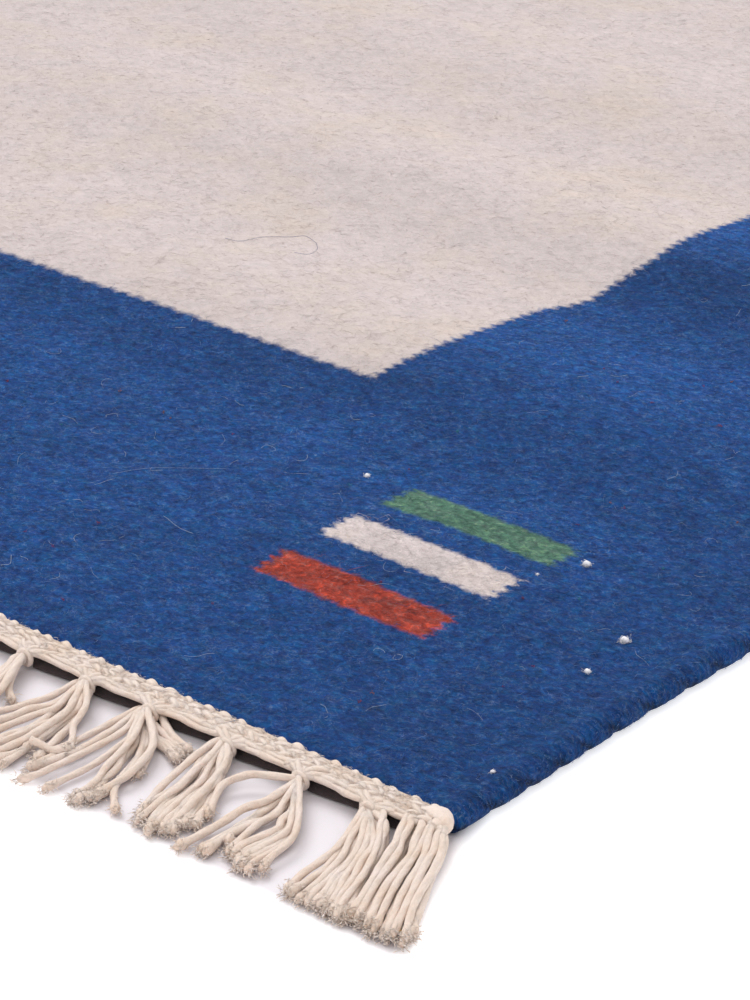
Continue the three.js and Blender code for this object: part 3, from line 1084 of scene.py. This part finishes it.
def nearness(x, y):
    """How near the camera sees a place: 1 at the corner, less further off, and 0 outside the view."""
    ahead, right, up = view_axes(CAMERA_PITCH, CAMERA_YAW)
    offset = np.stack([x, y, np.full_like(x, FACE_HEIGHT)], axis=-1) - np.array(CAMERA_PLACE) * METRE
    depth = offset @ ahead
    half = SENSOR / 2 / CAMERA_LENS
    across = np.abs(offset @ right) / depth / (half * FRAME_WIDTH / FRAME_HEIGHT)
    along = np.abs(offset @ up) / depth / half
    edge = np.maximum(across, along)
    inside = np.clip((OUTSIDE_VIEW - edge) / VIEW_STEP, 0, 1) * (depth > 0)
    return inside * np.clip((NEAR_REACH / np.maximum(depth, 1)) ** FALL_OFF, 0, 1)


# Fuzz


# The first and the last point of the selvedge's section down its outer side
SIDE_FROM, SIDE_TO = 8, 15


def face_point(x, y, share):
    """A place on the cloth's face, or down its side for a share of the way round the selvedge."""
    profile = np.array(SELVEDGE, float)
    steps = np.concatenate([[0], np.cumsum(np.linalg.norm(np.diff(profile, axis=0), axis=1))])
    start, finish = steps[SIDE_FROM], steps[SIDE_TO]
    travel = start + share * (finish - start)
    inset = np.interp(travel, steps, profile[:, 0])
    height = np.interp(travel, steps, profile[:, 1])
    edge_x = np.sign(x) * (HALF_WIDTH - inset)
    top = profile[SIDE_FROM::-1]
    flat_height = np.interp(HALF_WIDTH - np.abs(x), top[:, 0], top[:, 1])
    on_side = share > 0
    place_x = np.where(on_side, edge_x, x)
    place_z = np.where(on_side, height, flat_height)
    place_x, place_z = selvedge_shape(place_x, y, place_z)
    place_z = place_z + lift(place_x, y) + lumps(place_x, y) * (~on_side)
    outward_x = np.sign(x) * np.where(on_side, np.sin(np.pi * share), 0)
    outward_z = np.where(on_side, np.cos(np.pi * share), 1)
    outward = np.stack([outward_x, np.zeros_like(x), outward_z], axis=-1)
    return np.stack([place_x, y, place_z], axis=-1), outward


def raise_fuzz(rng, x, y, share):
    """Loose wool fibres at the given places, matted on the face and shorter down the sides."""
    count = len(x)
    on_side = share > 0
    length = in_mm(bpy.context.scene.kilim_sizes.fibre) * rng.lognormal(0, 0.42, count)
    length = np.where(on_side, np.minimum(0.45 * length, 1.6), np.minimum(length, 9.0))
    roots, outward = face_point(x, y, share)
    angle = rng.uniform(0, TAU, count)
    weft_wise = np.cross(END_WISE, outward)
    way = np.cos(angle)[:, None] * weft_wise + np.sin(angle)[:, None] * END_WISE
    rise = np.where(on_side, 0.02, 0.02 + 0.09 * rng.random(count) ** 3)[:, None]
    tips = roots + (way + outward * rise) * length[:, None]
    sideways = unit(np.cross(way, outward))
    bow = rng.normal(0, 0.36, count) * length
    arch = (0.03 + 0.11 * rng.random(count) ** 2) * length
    bows = sideways * bow[:, None] + outward * arch[:, None]
    roots = roots - outward * 0.12
    tips[:, 2] = np.maximum(tips[:, 2], 0.3)
    tone = rng.lognormal(0.02, 0.30, count)
    pale = np.where(rng.random(count) < 0.18, rng.uniform(0.2, 0.9, count), 0)
    stock = Stock()
    thickness = rng.uniform(0.026, 0.052, count)
    add_fibres(stock, roots, tips, bows, thickness, 1, root=roots * (1, 1, 0), tone=tone, pale=pale)
    return stock


def fuzz_places(rng, count, box, weigh):
    """Random places in a box on the face, each kept by the chance that its weight gives."""
    low_x, high_x, low_y, high_y = box
    x = rng.uniform(low_x, high_x, count)
    y = rng.uniform(low_y, high_y, count)
    kept = rng.random(count) < weigh(x, y)
    return x[kept], y[kept]


# The part of the face that the camera sees near to it: least and most X, least and most Y
CORNER_BOX = (60, HALF_WIDTH - 3, -HALF_LENGTH + 1, -330)
# The X between the two parts of the fuzz there
FUZZ_SPLIT = 432.0
# Tries at fibres on the face, and fibres down the selvedges: near the camera, and everywhere else
NEAR_TRIES, NEAR_SIDE_FIBRES = 118000, 2600
PLAIN_TRIES, PLAIN_SIDE_FIBRES = 9000, 1000


def corner_fuzz(rng):
    """Fuzz where the camera looks, in two parts, and down the selvedge's side there."""
    x, y = fuzz_places(rng, NEAR_TRIES, CORNER_BOX, nearness)
    side_y = rng.uniform(-HALF_LENGTH + 1, -740, NEAR_SIDE_FIBRES)
    side_x = np.full_like(side_y, HALF_WIDTH)
    side_share = rng.uniform(0.02, 0.70, len(side_y))
    share = np.concatenate([np.zeros_like(x), side_share])
    x = np.concatenate([x, side_x])
    y = np.concatenate([y, side_y])
    outer = x > FUZZ_SPLIT
    return [raise_fuzz(rng, x[part], y[part], share[part]) for part in (outer, ~outer)]


def plain_fuzz(rng):
    """Thinner fuzz over the rest of the face and down the other sides."""
    whole = (-HALF_WIDTH + 3, HALF_WIDTH - 3, -HALF_LENGTH + 1, HALF_LENGTH - 1)
    x, y = fuzz_places(rng, PLAIN_TRIES, whole, lambda place_x, place_y: 1 - nearness(place_x, place_y))
    side_y = rng.uniform(-HALF_LENGTH, HALF_LENGTH, PLAIN_SIDE_FIBRES)
    side_x = np.where(rng.random(len(side_y)) < 0.5, -HALF_WIDTH, HALF_WIDTH)
    share = np.concatenate([np.zeros_like(x), rng.uniform(0.02, 0.9, len(side_y))])
    return raise_fuzz(rng, np.concatenate([x, side_x]), np.concatenate([y, side_y]), share)


# Short curled hairs near the corner, and tufts of other wool: all of them, and those near the corner
CURLED_HAIRS = 120
TUFTS, NEAR_TUFTS = 105, 45
TUFT_COLOURS = ("red", "orange", "teal", "magenta")


def dye(name):
    return np.array(opaque(SPECK_COLOURS[name]))


def add_hair(stock, name, places, radius):
    """A hair that lies on the face along a smooth curve through the places."""
    flat = smooth_path([(x, y, 0) for x, y in places], 6)
    x, y = flat[:, 0], flat[:, 1]
    surface, _ = face_point(x, y, np.zeros_like(x))
    surface[:, 2] += 0.16 + 0.14 * np.sin(np.linspace(0, 7, len(x)))
    add_tube(stock, surface, radius, 4, dye=np.tile(dye(name), (len(x), 1)))


def curled_hair(rng):
    """The places of a short curled hair on the blue border by the near corner."""
    along_end = rng.random() < 0.6
    x = rng.uniform(300, 590) if along_end else rng.uniform(440, 590)
    y = rng.uniform(-890, -750) if along_end else rng.uniform(-750, -480)
    heading, turn = rng.uniform(0, TAU), rng.normal(0, 0.55)
    step = rng.uniform(0.8, 2.0)
    places = [(x, y)]
    for _ in range(4):
        heading += turn + rng.normal(0, 0.25)
        x, y = x + step * math.cos(heading), y + step * math.sin(heading)
        places.append((x, y))
    return places


def scatter_specks(rng):
    """Lint and long hairs, each at its own place on the face."""
    stock = Stock()
    for name, radius, places in HAIRS:
        add_hair(stock, name, places, radius)
    for _ in range(CURLED_HAIRS):
        add_hair(stock, "pale", curled_hair(rng), rng.uniform(0.022, 0.042))
    for name, x, y, size in SPECKS:
        add_tuft(stock, rng, name, x, y, size)
    for order in range(TUFTS):
        name = TUFT_COLOURS[rng.integers(0, 4)]
        x = rng.uniform(-HALF_WIDTH + 8, HALF_WIDTH - 8)
        y = rng.uniform(-HALF_LENGTH + 8, HALF_LENGTH - 8)
        if order < NEAR_TUFTS:
            x, y = curled_hair(rng)[0]
        in_field = abs(x) < HALF_WIDTH - 172 and abs(y) < HALF_LENGTH - 170
        if not in_field:
            add_tuft(stock, rng, name, x, y, rng.uniform(0.35, 0.7))
    return stock


# The felted middle of a tuft of lint, for a size of 1
PUFF_PLACES = ((-0.45, -0.2, -0.1), (-0.1, 0.1, 0.1), (0.3, 0.1, 0.05), (0.5, -0.1, -0.1))
PUFF_RADII = (0.36, 0.60, 0.54, 0.30)


def add_tuft(stock, rng, name, x, y, size):
    """A little tangle of fibres caught in the face, with a felted middle where it is lint."""
    is_lint = name == "white"
    count = int(100 * size) if is_lint else int(10 + 14 * size)
    spots_x = x + rng.normal(0, 0.34 * size, count)
    spots_y = y + rng.normal(0, 0.34 * size, count)
    roots, _ = face_point(spots_x, spots_y, np.zeros(count))
    on_cloth = abs(x) < HALF_WIDTH and abs(y) < HALF_LENGTH
    if not on_cloth:
        roots[:, 2] = 1.5
    roots[:, 2] += rng.uniform(0, 0.5 * size, count)
    angle = rng.uniform(0, TAU, count)
    reach = rng.uniform(0.25, 0.65, count) * size
    rise = rng.normal(0, 0.25, count)
    tips = roots + np.stack([np.cos(angle) * reach, np.sin(angle) * reach, rise], axis=-1)
    bows = rng.normal(0, 0.22 * size, (count, 3))
    add_fibres(stock, roots, tips, bows, 0.05, 2, dye=np.tile(dye(name), (count, 1)))
    if is_lint:
        middle = roots.mean(axis=0)
        puff = middle + size * np.array(PUFF_PLACES)
        add_tube(stock, puff, size * np.array(PUFF_RADII), 8, dye=np.tile(dye(name), (len(puff), 1)))


# The ends: heading and fringe


class End:
    """One end of the rug. Places are given along the end, out from the cloth, and up."""

    def __init__(self, far):
        self.far = far

    def placed(self, points):
        points = np.asarray(points, float)
        along, out, up = points[..., 0], points[..., 1], points[..., 2]
        if self.far:
            return np.stack([-along, HALF_LENGTH + out, up], axis=-1)
        return np.stack([along, -HALF_LENGTH - out, up], axis=-1)


# The heading's body under its stitches: out from the cloth, height and radius
HEADING_BODY = ((1.3, 4.45, 1.45), (3.4, 4.6, 1.5), (5.3, 4.4, 1.2))
# Rows of stitches across the heading: out from the cloth, height, slant and pitch in warps
STITCH_ROWS = ((2.5, 5.5, -1, 1.20), (3.8, 5.5, 1, 1.10), (5.0, 5.2, -1, 1.25))
# The two cords along its lower edge: out from the cloth, height and radius
EDGE_CORDS = ((5.9, 4.85, 0.80), (6.7, 4.25, 0.85))
# The top of the band: out from the cloth and height
BAND_TOP = ((-0.3, 0.6, 1.6, 3.0, 4.6, 5.8, 6.8, 7.3), (5.3, 6.2, 6.3, 6.15, 6.05, 5.6, 4.8, 4.1))
HEADING_END = 593.5
# Stitches past this place along the near end are finer, since the camera sees them close by
FINE_FROM = 400.0


def add_stitch(stock, end, middle, reach, sink, radius, fine, soil):
    """A short stretch of cord that rises over the heading's body and dives in at both ends."""
    middle, reach = np.array(middle, float), np.array(reach, float)
    shares = (-1, -0.45, 0.1, 0.6, 1) if fine else (-1, 0, 1)
    course = [middle + reach * share - UP * sink * share**2 for share in shares]
    path = smooth_path(course, 2)
    swelling = radius * (1 - 0.4 * np.linspace(-1, 1, len(path)) ** 2)
    add_tube(stock, end.placed(path), swelling, 6 if fine else 4, soil=np.full(len(path), soil))


def stitch_places(rng, pitch, wander):
    """Places along the heading at an uneven pitch."""
    count = round(2 * HEADING_END / pitch)
    return np.linspace(-HEADING_END, HEADING_END, count) + rng.normal(0, wander, count)


def stitch_heading(stock, end, rng):
    """Nubs along the blue edge, rows of slanted stitches behind them, and cords along the lower edge."""
    warp = in_mm(bpy.context.scene.kilim_sizes.warp_pitch)
    for x in stitch_places(rng, 1.92 * warp, 0.45):
        fine = x > FINE_FROM and not end.far
        middle = (x, 1.0 + rng.normal(0, 0.22), 5.3 + rng.normal(0, 0.14))
        reach = (2.2 + rng.normal(0, 0.3), 0.5 + rng.normal(0, 0.3), 0.0)
        add_stitch(stock, end, middle, reach, 1.1, 1.22 + rng.normal(0, 0.10), fine, rng.uniform(0, 0.1))
    for out, up, slant, warps in STITCH_ROWS:
        for x in stitch_places(rng, warps * warp, 0.5):
            fine = x > FINE_FROM and not end.far
            middle = (x, out + rng.normal(0, 0.22), up + rng.normal(0, 0.12))
            reach = (2.4 + rng.normal(0, 0.4), slant * (0.85 + rng.normal(0, 0.35)), rng.normal(0, 0.1))
            radius = 0.80 + rng.normal(0, 0.08)
            add_stitch(stock, end, middle, reach, 0.6, radius, fine, rng.uniform(0, 0.12))
    for out, up, radius in EDGE_CORDS:
        x = np.linspace(-HEADING_END, HEADING_END, 400)
        sway = 0.22 * np.sin(x / 1.9 + out) + 0.20 * np.sin(x / 4.3)
        cord = np.stack([x, out + sway, up + 0.16 * np.sin(x / 2.3 + 2 * out)], axis=-1)
        swelling = radius * (1 + 0.10 * np.sin(x / 1.3 + out))
        add_tube(stock, end.placed(cord), swelling, 6, soil=np.full(len(x), 0.05))


def felt_heading(stock, end, rng, count, low, high):
    """Short cotton fibres matted over the band."""
    x = rng.uniform(low, high, count)
    out = rng.uniform(0.9, 6.6, count)
    roots = np.stack([x, out, np.interp(out, *BAND_TOP) - rng.uniform(0.0, 0.35, count)], axis=-1)
    angle = rng.uniform(0, TAU, count)
    length = rng.uniform(1.0, 2.8, count)[:, None]
    ways = np.stack([np.cos(angle), 0.5 * np.sin(angle), rng.normal(0, 0.07, count)], axis=-1)
    tips = roots + ways * length
    tips[:, 2] = np.minimum(tips[:, 2], roots[:, 2] + 0.2)
    bows = rng.normal(0, 0.3, (count, 3)) * (1, 1, 0.2)
    radius = rng.uniform(0.03, 0.075, count)
    add_fibres(stock, end.placed(roots), end.placed(tips), bows, radius, 1, soil=rng.uniform(0, 0.12, count))


def add_shadow_wedge(stock, end):
    """A dark wedge standing in for the shade under the heading and its shadow on the floor: it shows between
    the knots and comes out furthest beside them.
    """
    x = np.linspace(-HEADING_END, HEADING_END, 700)
    knots = np.array(sorted(knot_places()))
    before = knots[np.clip(np.searchsorted(knots, x) - 1, 0, None)]
    foot = np.interp(x - before, (0, 3, 7, 12, 16, 20), (6.7, 6.6, 6.2, 5.6, 5.2, 5.0))
    profile = ((1.8, 0.15), (foot, 0.12), (foot - 0.5, 0.5), (3.0, 3.6))
    sections = np.stack([np.stack([x, 0 * x + out, 0 * x + up], axis=-1) for out, up in profile], axis=1)
    add_loft(stock, end.placed(sections), soil=np.full(len(x), IN_SHADE))


def twine_heading(end, rng):
    """The stitched and felted band over its body, with the tail of its cord turned over each corner."""
    stock = Stock()
    for out, up, radius in HEADING_BODY:
        body = np.array([(x, out, up) for x in np.linspace(-HEADING_END, HEADING_END, 120)])
        # The body is tinted a quarter towards the soiled colour, as painted shade between the stitches
        add_tube(stock, end.placed(body), radius, 6, soil=np.full(len(body), 0.25))
    add_shadow_wedge(stock, end)
    stitch_heading(stock, end, rng)
    felt_heading(stock, end, rng, 900 if end.far else 1600, -HEADING_END, FINE_FROM)
    felt_heading(stock, end, rng, 300 if end.far else 4200, FINE_FROM, HEADING_END)
    for side in (-1, 1):
        tail = smooth_path(CORNER_TAIL, 8) * (side, 1, 1)
        swelling = np.interp(np.linspace(0, 1, len(tail)), np.linspace(0, 1, len(TAIL_RADII)), TAIL_RADII)
        add_tube(stock, end.placed(tail), swelling, 16, soil=np.full(len(tail), 0.02))
    return stock


def pick_past_cloth(across, down, height):
    """A pick past the near end, as its place along the end and out from the cloth."""
    x, y = pick(across, down, height)
    return x, round(-y - HALF_LENGTH, 1)


def picked_strand(height, picks):
    """A strand's places along the end and out from the cloth, from its picks, which sink as it does."""
    levels = np.interp(np.linspace(0, 1, len(picks)), np.linspace(0, 1, 5), STRAND_HEIGHTS[height])
    return height, [pick_past_cloth(*pixel, level) for pixel, level in zip(picks, levels) if pixel]


CORNER_STRANDS = {
    knot: [picked_strand(*strand) for strand in strands] for knot, strands in STRAND_PICKS.items()
}


def lying_strand(height, places, shift=0.0):
    """A strand's places with their heights."""
    shares = np.linspace(0, 1, len(places))
    levels = np.interp(shares, np.linspace(0, 1, 5), STRAND_HEIGHTS[height])
    return [(x + shift, out, up) for (x, out), up in zip(places, levels)]


def between(first, second):
    """A strand that lies under two others, midway between them."""
    count = min(len(first), len(second))
    pairs = zip(first[:count - 1] + first[-1:], second[:count - 1] + second[-1:])
    places = [((x + other_x) / 2, (out + other_out) / 2) for (x, out), (other_x, other_out) in pairs]
    return ("under", places)


def corner_tassels():
    """The picked tassels, most of them with a second layer under them."""
    tassels = []
    for knot, strands in CORNER_STRANDS.items():
        layers = list(strands)
        if knot > LAYERED_FROM:
            layers += [between(first[1], second[1]) for first, second in zip(strands, strands[1:])]
        tassels.append((knot, [lying_strand(*strand) for strand in layers]))
    return tassels


def plain_knot(order):
    """The place of a knot past those of the picked tassels, counted along the end."""
    return min(STRAND_PICKS) - TASSEL_PITCH * (order + 1) + 1.2 * math.sin(2.1 * order)


def knot_places():
    """Where every knot stands along an end."""
    return [*STRAND_PICKS, *(plain_knot(order) for order in range(PLAIN_TASSELS))]


def plain_tassel(rng, order):
    """A tassel past the picked ones: one of four ways of lying, at its own knot."""
    knot = plain_knot(order)
    pattern = PATTERN_KNOTS[(order * 3 + order // 4) % len(PATTERN_KNOTS)]
    strands = []
    lean = rng.normal(0, 1.3)
    for height, places in CORNER_STRANDS[pattern]:
        course = np.array(lying_strand(height, places, knot - pattern))
        growth = np.linspace(0, 1, len(course))
        course[:, 0] += growth * (lean + rng.normal(0, 1.2)) + 0.5 * rng.normal(0, 1, len(course)) * growth
        course[:, 1] += growth * rng.normal(0, 1.1)
        strands.append([tuple(place) for place in course])
    return knot, strands


def gathered(rng, knot, strand, order, count):
    """A strand with its way out from under the heading and through the knot put before it."""
    first_x, first_out, first_up = strand[0]
    share = (order + 0.5) / count
    at_corner = knot == CORNER_KNOT
    start_x = first_x - 2.5 if at_corner else knot - 7.5 + 9 * share
    knot_x = first_x - 0.8 if at_corner else knot + (share - 0.5) * 1.7
    knot_out = min(8.0, first_out - 1.4)
    knot_up = (first_up if at_corner else 1.9 + 0.42 * first_up) + rng.uniform(-0.3, 0.3)
    middle = (0.45 * start_x + 0.55 * knot_x, 2.4 + 0.5 * knot_out, 4.5)
    return [(start_x, 4.4, 4.3), middle, (knot_x, knot_out, knot_up), *strand]


def add_strand(stock, end, rng, course, steps, sides, darkening):
    """A plied cotton strand that opens out at its cut end, where dust darkens it."""
    radius = in_mm(bpy.context.scene.kilim_sizes.strand) / 2
    waver = rng.normal(0, 1, (len(course), 3)) * (0.42, 0.2, 0.08)
    waver[:2] = 0
    path = end.placed(smooth_path(np.array(course) + waver, steps))
    lengths = np.concatenate([[0], np.cumsum(np.linalg.norm(np.diff(path, axis=0), axis=1))])
    left = lengths[-1] - lengths
    swelling = radius * (1 + 0.06 * np.sin(lengths * 0.9 + rng.uniform(0, TAU))) * rng.uniform(0.88, 1.12)
    swelling = swelling * (1 + 0.36 * np.exp(-((left - 1.6) / 2.0) ** 2))
    swelling[-1] *= 0.62
    path[:, 2] = np.maximum(path[:, 2], swelling + 0.1)
    soil = 0.02 + darkening * np.exp(-left / 3.2)
    add_tube(stock, path, swelling, sides, soil=soil)
    return path


def add_fray(stock, rng, path, count, darkening):
    """The felted brush of loose cotton fibres round a strand's cut end."""
    way = unit(path[-1] - path[-3])
    back = rng.uniform(-0.5, 3.6, (count, 1))
    outward = unit(np.cross(way, rng.normal(0, 1, (count, 3))))
    roots = path[-1] - way * back + outward * rng.uniform(0.5, 1.35, (count, 1))
    ways = unit(way * 0.9 + rng.normal(0, 0.75, (count, 3)) * (1, 1, 0.5))
    tips = roots + ways * rng.uniform(0.9, 2.4, (count, 1))
    roots[:, 2] = np.maximum(roots[:, 2], 0.35)
    tips[:, 2] = np.maximum(tips[:, 2], 0.3)
    bows = rng.normal(0, 0.28, (count, 3)) * (1, 1, 0.3)
    radius = rng.uniform(0.08, 0.19, count)
    # Dust on the cut end, three times as strong on fibres that lie low, as painted shade near the floor
    soil = rng.uniform(0.0, 0.8, count) * darkening * np.where(tips[:, 2] < 0.9, 1.2, 0.4)
    add_fibres(stock, roots, tips, bows, radius, 1, soil=soil)


# Warp ends that run under the heading's lower edge to a knot: start along the end, out and height
GATHERS = ((9.3, 5.1, 4.3), (5.6, 5.3, 4.9), (2.2, 5.4, 5.2), (-6.8, 5.0, 4.7), (-3.4, 5.2, 5.1))


def add_knot(stock, end, rng, knot, steps, sides):
    """Warp ends drawn to the knot, and the strand that wraps them tightly with its ends tucked in."""
    radius = in_mm(bpy.context.scene.kilim_sizes.strand) / 2
    for start, out, up in GATHERS:
        course = [
            (knot + start, out, up),
            (knot + 0.62 * start, out + 1.1, up + 0.1),
            (knot + 0.22 * start + 0.3, 7.3 + rng.normal(0, 0.15), 0.5 * up + 2.2),
            (knot + rng.normal(0.2, 0.4), 8.4, 3.9),
            (knot + rng.normal(0.2, 0.4), 9.6, 2.6),
        ]
        path = end.placed(smooth_path(course, steps))
        add_tube(stock, path, radius * rng.uniform(0.75, 0.95), sides, soil=np.full(len(path), 0.03))
    turns = np.linspace(-0.12, 1.22, 5 * steps + 1)
    angle = TAU * (turns + 0.55)
    tuck = 1 - 0.55 * np.clip(np.abs(turns - 0.55) / 0.67, 0, 1) ** 6
    wrap = np.stack([
        knot + 0.2 + 1.75 * tuck * np.cos(angle),
        7.7 + 0.9 * turns,
        3.15 + 1.75 * tuck * np.sin(angle),
    ], axis=-1)
    add_tube(stock, end.placed(wrap), radius * 0.85, sides, END_WISE, soil=np.full(len(wrap), 0.05))


def knot_tassels(end, rng, tassels, steps, sides, fray):
    """Tassels as strands of so many steps and sides, with so many loose fibres at each cut end."""
    stock = Stock()
    for knot, strands in tassels:
        darkening = rng.uniform(0.15, 0.45)
        for order, strand in enumerate(strands):
            course = gathered(rng, knot, strand, order, len(strands))
            path = add_strand(stock, end, rng, course, steps, sides, darkening)
            add_fray(stock, rng, path, fray, darkening)
        if knot != CORNER_KNOT:
            add_knot(stock, end, rng, knot, steps, sides)
    return stock


def lay_loose_ends(stock, end, rng, steps, sides):
    """The frayed ends that stray from their tassels."""
    for picks in LOOSE_PICKS:
        course = [(*pick_past_cloth(across, down, taken), laid) for across, down, taken, laid in picks]
        path = add_strand(stock, end, rng, course, steps, sides, 0.5)
        add_fray(stock, rng, path, 40, 0.5)


# Operators


class KILIM_OT_weave_cloth(Operator):
    """Weave the wool cloth with its border, field and bars"""

    bl_idname = "kilim.weave_cloth"
    bl_label = "Weave the cloth"

    def execute(self, context):
        cloth = build_piece("woven_wool", weave_cloth(), wool_cloth_material())
        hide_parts("woven_cloth")
        return {"FINISHED"}


class KILIM_OT_raise_fuzz(Operator):
    """Raise the loose wool fibres off the face and the selvedges"""

    bl_idname = "kilim.raise_fuzz"
    bl_label = "Raise the fuzz"

    def execute(self, context):
        rng = np.random.default_rng(11)
        material = wool_fuzz_material()
        parts = [*corner_fuzz(rng), plain_fuzz(rng)]
        for name, stock in zip(("fuzz_corner", "fuzz_inner", "fuzz_plain"), parts):
            build_piece(name, stock, material)
        return {"FINISHED"}


class KILIM_OT_scatter_lint(Operator):
    """Scatter the lint, the specks of other wool and the long hairs"""

    bl_idname = "kilim.scatter_lint"
    bl_label = "Scatter the lint"

    def execute(self, context):
        stock = scatter_specks(np.random.default_rng(23))
        build_piece("lint_and_hairs", stock, speck_material())
        return {"FINISHED"}


class KILIM_OT_twine_headings(Operator):
    """Twine the cotton heading along both ends, with its tail turned over each corner"""

    bl_idname = "kilim.twine_headings"
    bl_label = "Twine the headings"

    def execute(self, context):
        material = cotton_material("twined_cotton", 0.11, 0.90)
        rng = np.random.default_rng(5)
        for far, label in ((False, "near"), (True, "far")):
            stock = twine_heading(End(far), rng)
            heading = build_piece("twined_heading_" + label, stock, material)
            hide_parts("heading_" + label)
        return {"FINISHED"}


class KILIM_OT_knot_fringes(Operator):
    """Knot the warp ends in tassels along both ends and fray their cut ends"""

    bl_idname = "kilim.knot_fringes"
    bl_label = "Knot the fringes"

    def execute(self, context):
        material = cotton_material("plied_cotton", 0.16, 0.86)
        rng = np.random.default_rng(47)
        near, far = End(False), End(True)
        corner = knot_tassels(near, rng, corner_tassels(), steps=5, sides=9, fray=64)
        lay_loose_ends(corner, near, rng, steps=5, sides=10)
        plain = [plain_tassel(rng, order) for order in range(PLAIN_TASSELS)]
        rest = knot_tassels(near, rng, plain, steps=2, sides=4, fray=6)
        other = [plain_tassel(rng, order) for order in range(PLAIN_TASSELS)]
        opposite = knot_tassels(far, rng, [*corner_tassels(), *other], steps=2, sides=4, fray=5)
        named = (("tassels_near_corner", corner), ("tassels_near", rest), ("tassels_far", opposite))
        for name, stock in named:
            piece = build_piece(name, stock, material)
            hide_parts("fringe_far" if name == "tassels_far" else "fringe_near")
        return {"FINISHED"}


class KILIM_OT_set_stage(Operator):
    """Lay the pale floor, set the light, and stand the camera at the corner"""

    bl_idname = "kilim.set_stage"
    bl_label = "Set the stage"

    def execute(self, context):
        stage = context.scene.kilim_stage
        lay_floor()
        light_world(stage)
        stand_camera(context.scene)
        context.scene.view_settings.view_transform = "Standard"
        return {"FINISHED"}


FLOOR_HALF = 40.0
FLOOR_DROP = 0.0004


def lay_floor():
    mesh = bpy.data.meshes.new("floor")
    corners = [(-1, -1), (1, -1), (1, 1), (-1, 1)]
    mesh.from_pydata([(x * FLOOR_HALF, y * FLOOR_HALF, -FLOOR_DROP) for x, y in corners], [], [(0, 1, 2, 3)])
    mesh.materials.append(floor_material())
    floor = bpy.data.objects.new("floor", mesh)
    bpy.context.collection.objects.link(floor)


def light_world(stage):
    world = bpy.data.worlds.new("soft_room")
    world.use_nodes = True
    background = world.node_tree.nodes["Background"]
    background.inputs["Color"].default_value = (1.0, 1.0, 1.0, 1.0)
    background.inputs["Strength"].default_value = stage.ambient
    bpy.context.scene.world = world
    add_sun("key", stage.key, stage.key_height, stage.key_turn, 40)
    add_sun("fill", stage.fill, math.radians(50), stage.key_turn + math.pi * 0.8, 60)


def add_sun(name, strength, height, turn, softness):
    """A broad light from far off: its height over the floor, and its turn from +Y towards -X."""
    light = bpy.data.lights.new(name, "SUN")
    light.energy = strength
    light.angle = math.radians(softness)
    sun = bpy.data.objects.new(name, light)
    sun.rotation_euler = (height - math.pi / 2, 0, turn)
    bpy.context.collection.objects.link(sun)


def stand_camera(scene):
    lens = bpy.data.cameras.new("corner_view")
    lens.lens = CAMERA_LENS
    lens.sensor_width = SENSOR
    lens.clip_start = 0.02
    lens.clip_end = 60
    camera = bpy.data.objects.new("corner_view", lens)
    camera.location = CAMERA_PLACE
    camera.rotation_euler = (math.radians(90 - CAMERA_PITCH), 0, math.radians(CAMERA_YAW))
    bpy.context.collection.objects.link(camera)
    scene.camera = camera


STEPS = (
    KILIM_OT_weave_cloth,
    KILIM_OT_raise_fuzz,
    KILIM_OT_scatter_lint,
    KILIM_OT_twine_headings,
    KILIM_OT_knot_fringes,
    KILIM_OT_set_stage,
)


class KILIM_PT_panel(Panel):
    """The kilim's steps and sizes"""

    bl_label = "Kilim"
    bl_space_type = "VIEW_3D"
    bl_region_type = "UI"
    bl_category = "Kilim"

    def draw(self, context):
        for step in STEPS:
            self.layout.operator(step.bl_idname)
        for group_name, kind in GROUPS.items():
            box = self.layout.box()
            for name in kind.__annotations__:
                box.prop(getattr(context.scene, group_name), name)


GROUPS = {"kilim_sizes": KilimSizes, "kilim_colours": KilimColours, "kilim_stage": KilimStage}


def register():
    for kind in (*GROUPS.values(), *STEPS, KILIM_PT_panel):
        bpy.utils.register_class(kind)
    for name, group in GROUPS.items():
        setattr(bpy.types.Scene, name, PointerProperty(type=group))


def unregister():
    for name in GROUPS:
        delattr(bpy.types.Scene, name)
    for kind in reversed((*GROUPS.values(), *STEPS, KILIM_PT_panel)):
        bpy.utils.unregister_class(kind)


def main():
    register()
    bpy.ops.kilim.weave_cloth()
    bpy.ops.kilim.raise_fuzz()
    bpy.ops.kilim.scatter_lint()
    bpy.ops.kilim.twine_headings()
    bpy.ops.kilim.knot_fringes()
    bpy.ops.kilim.set_stage()


if __name__ == "__main__":
    main()
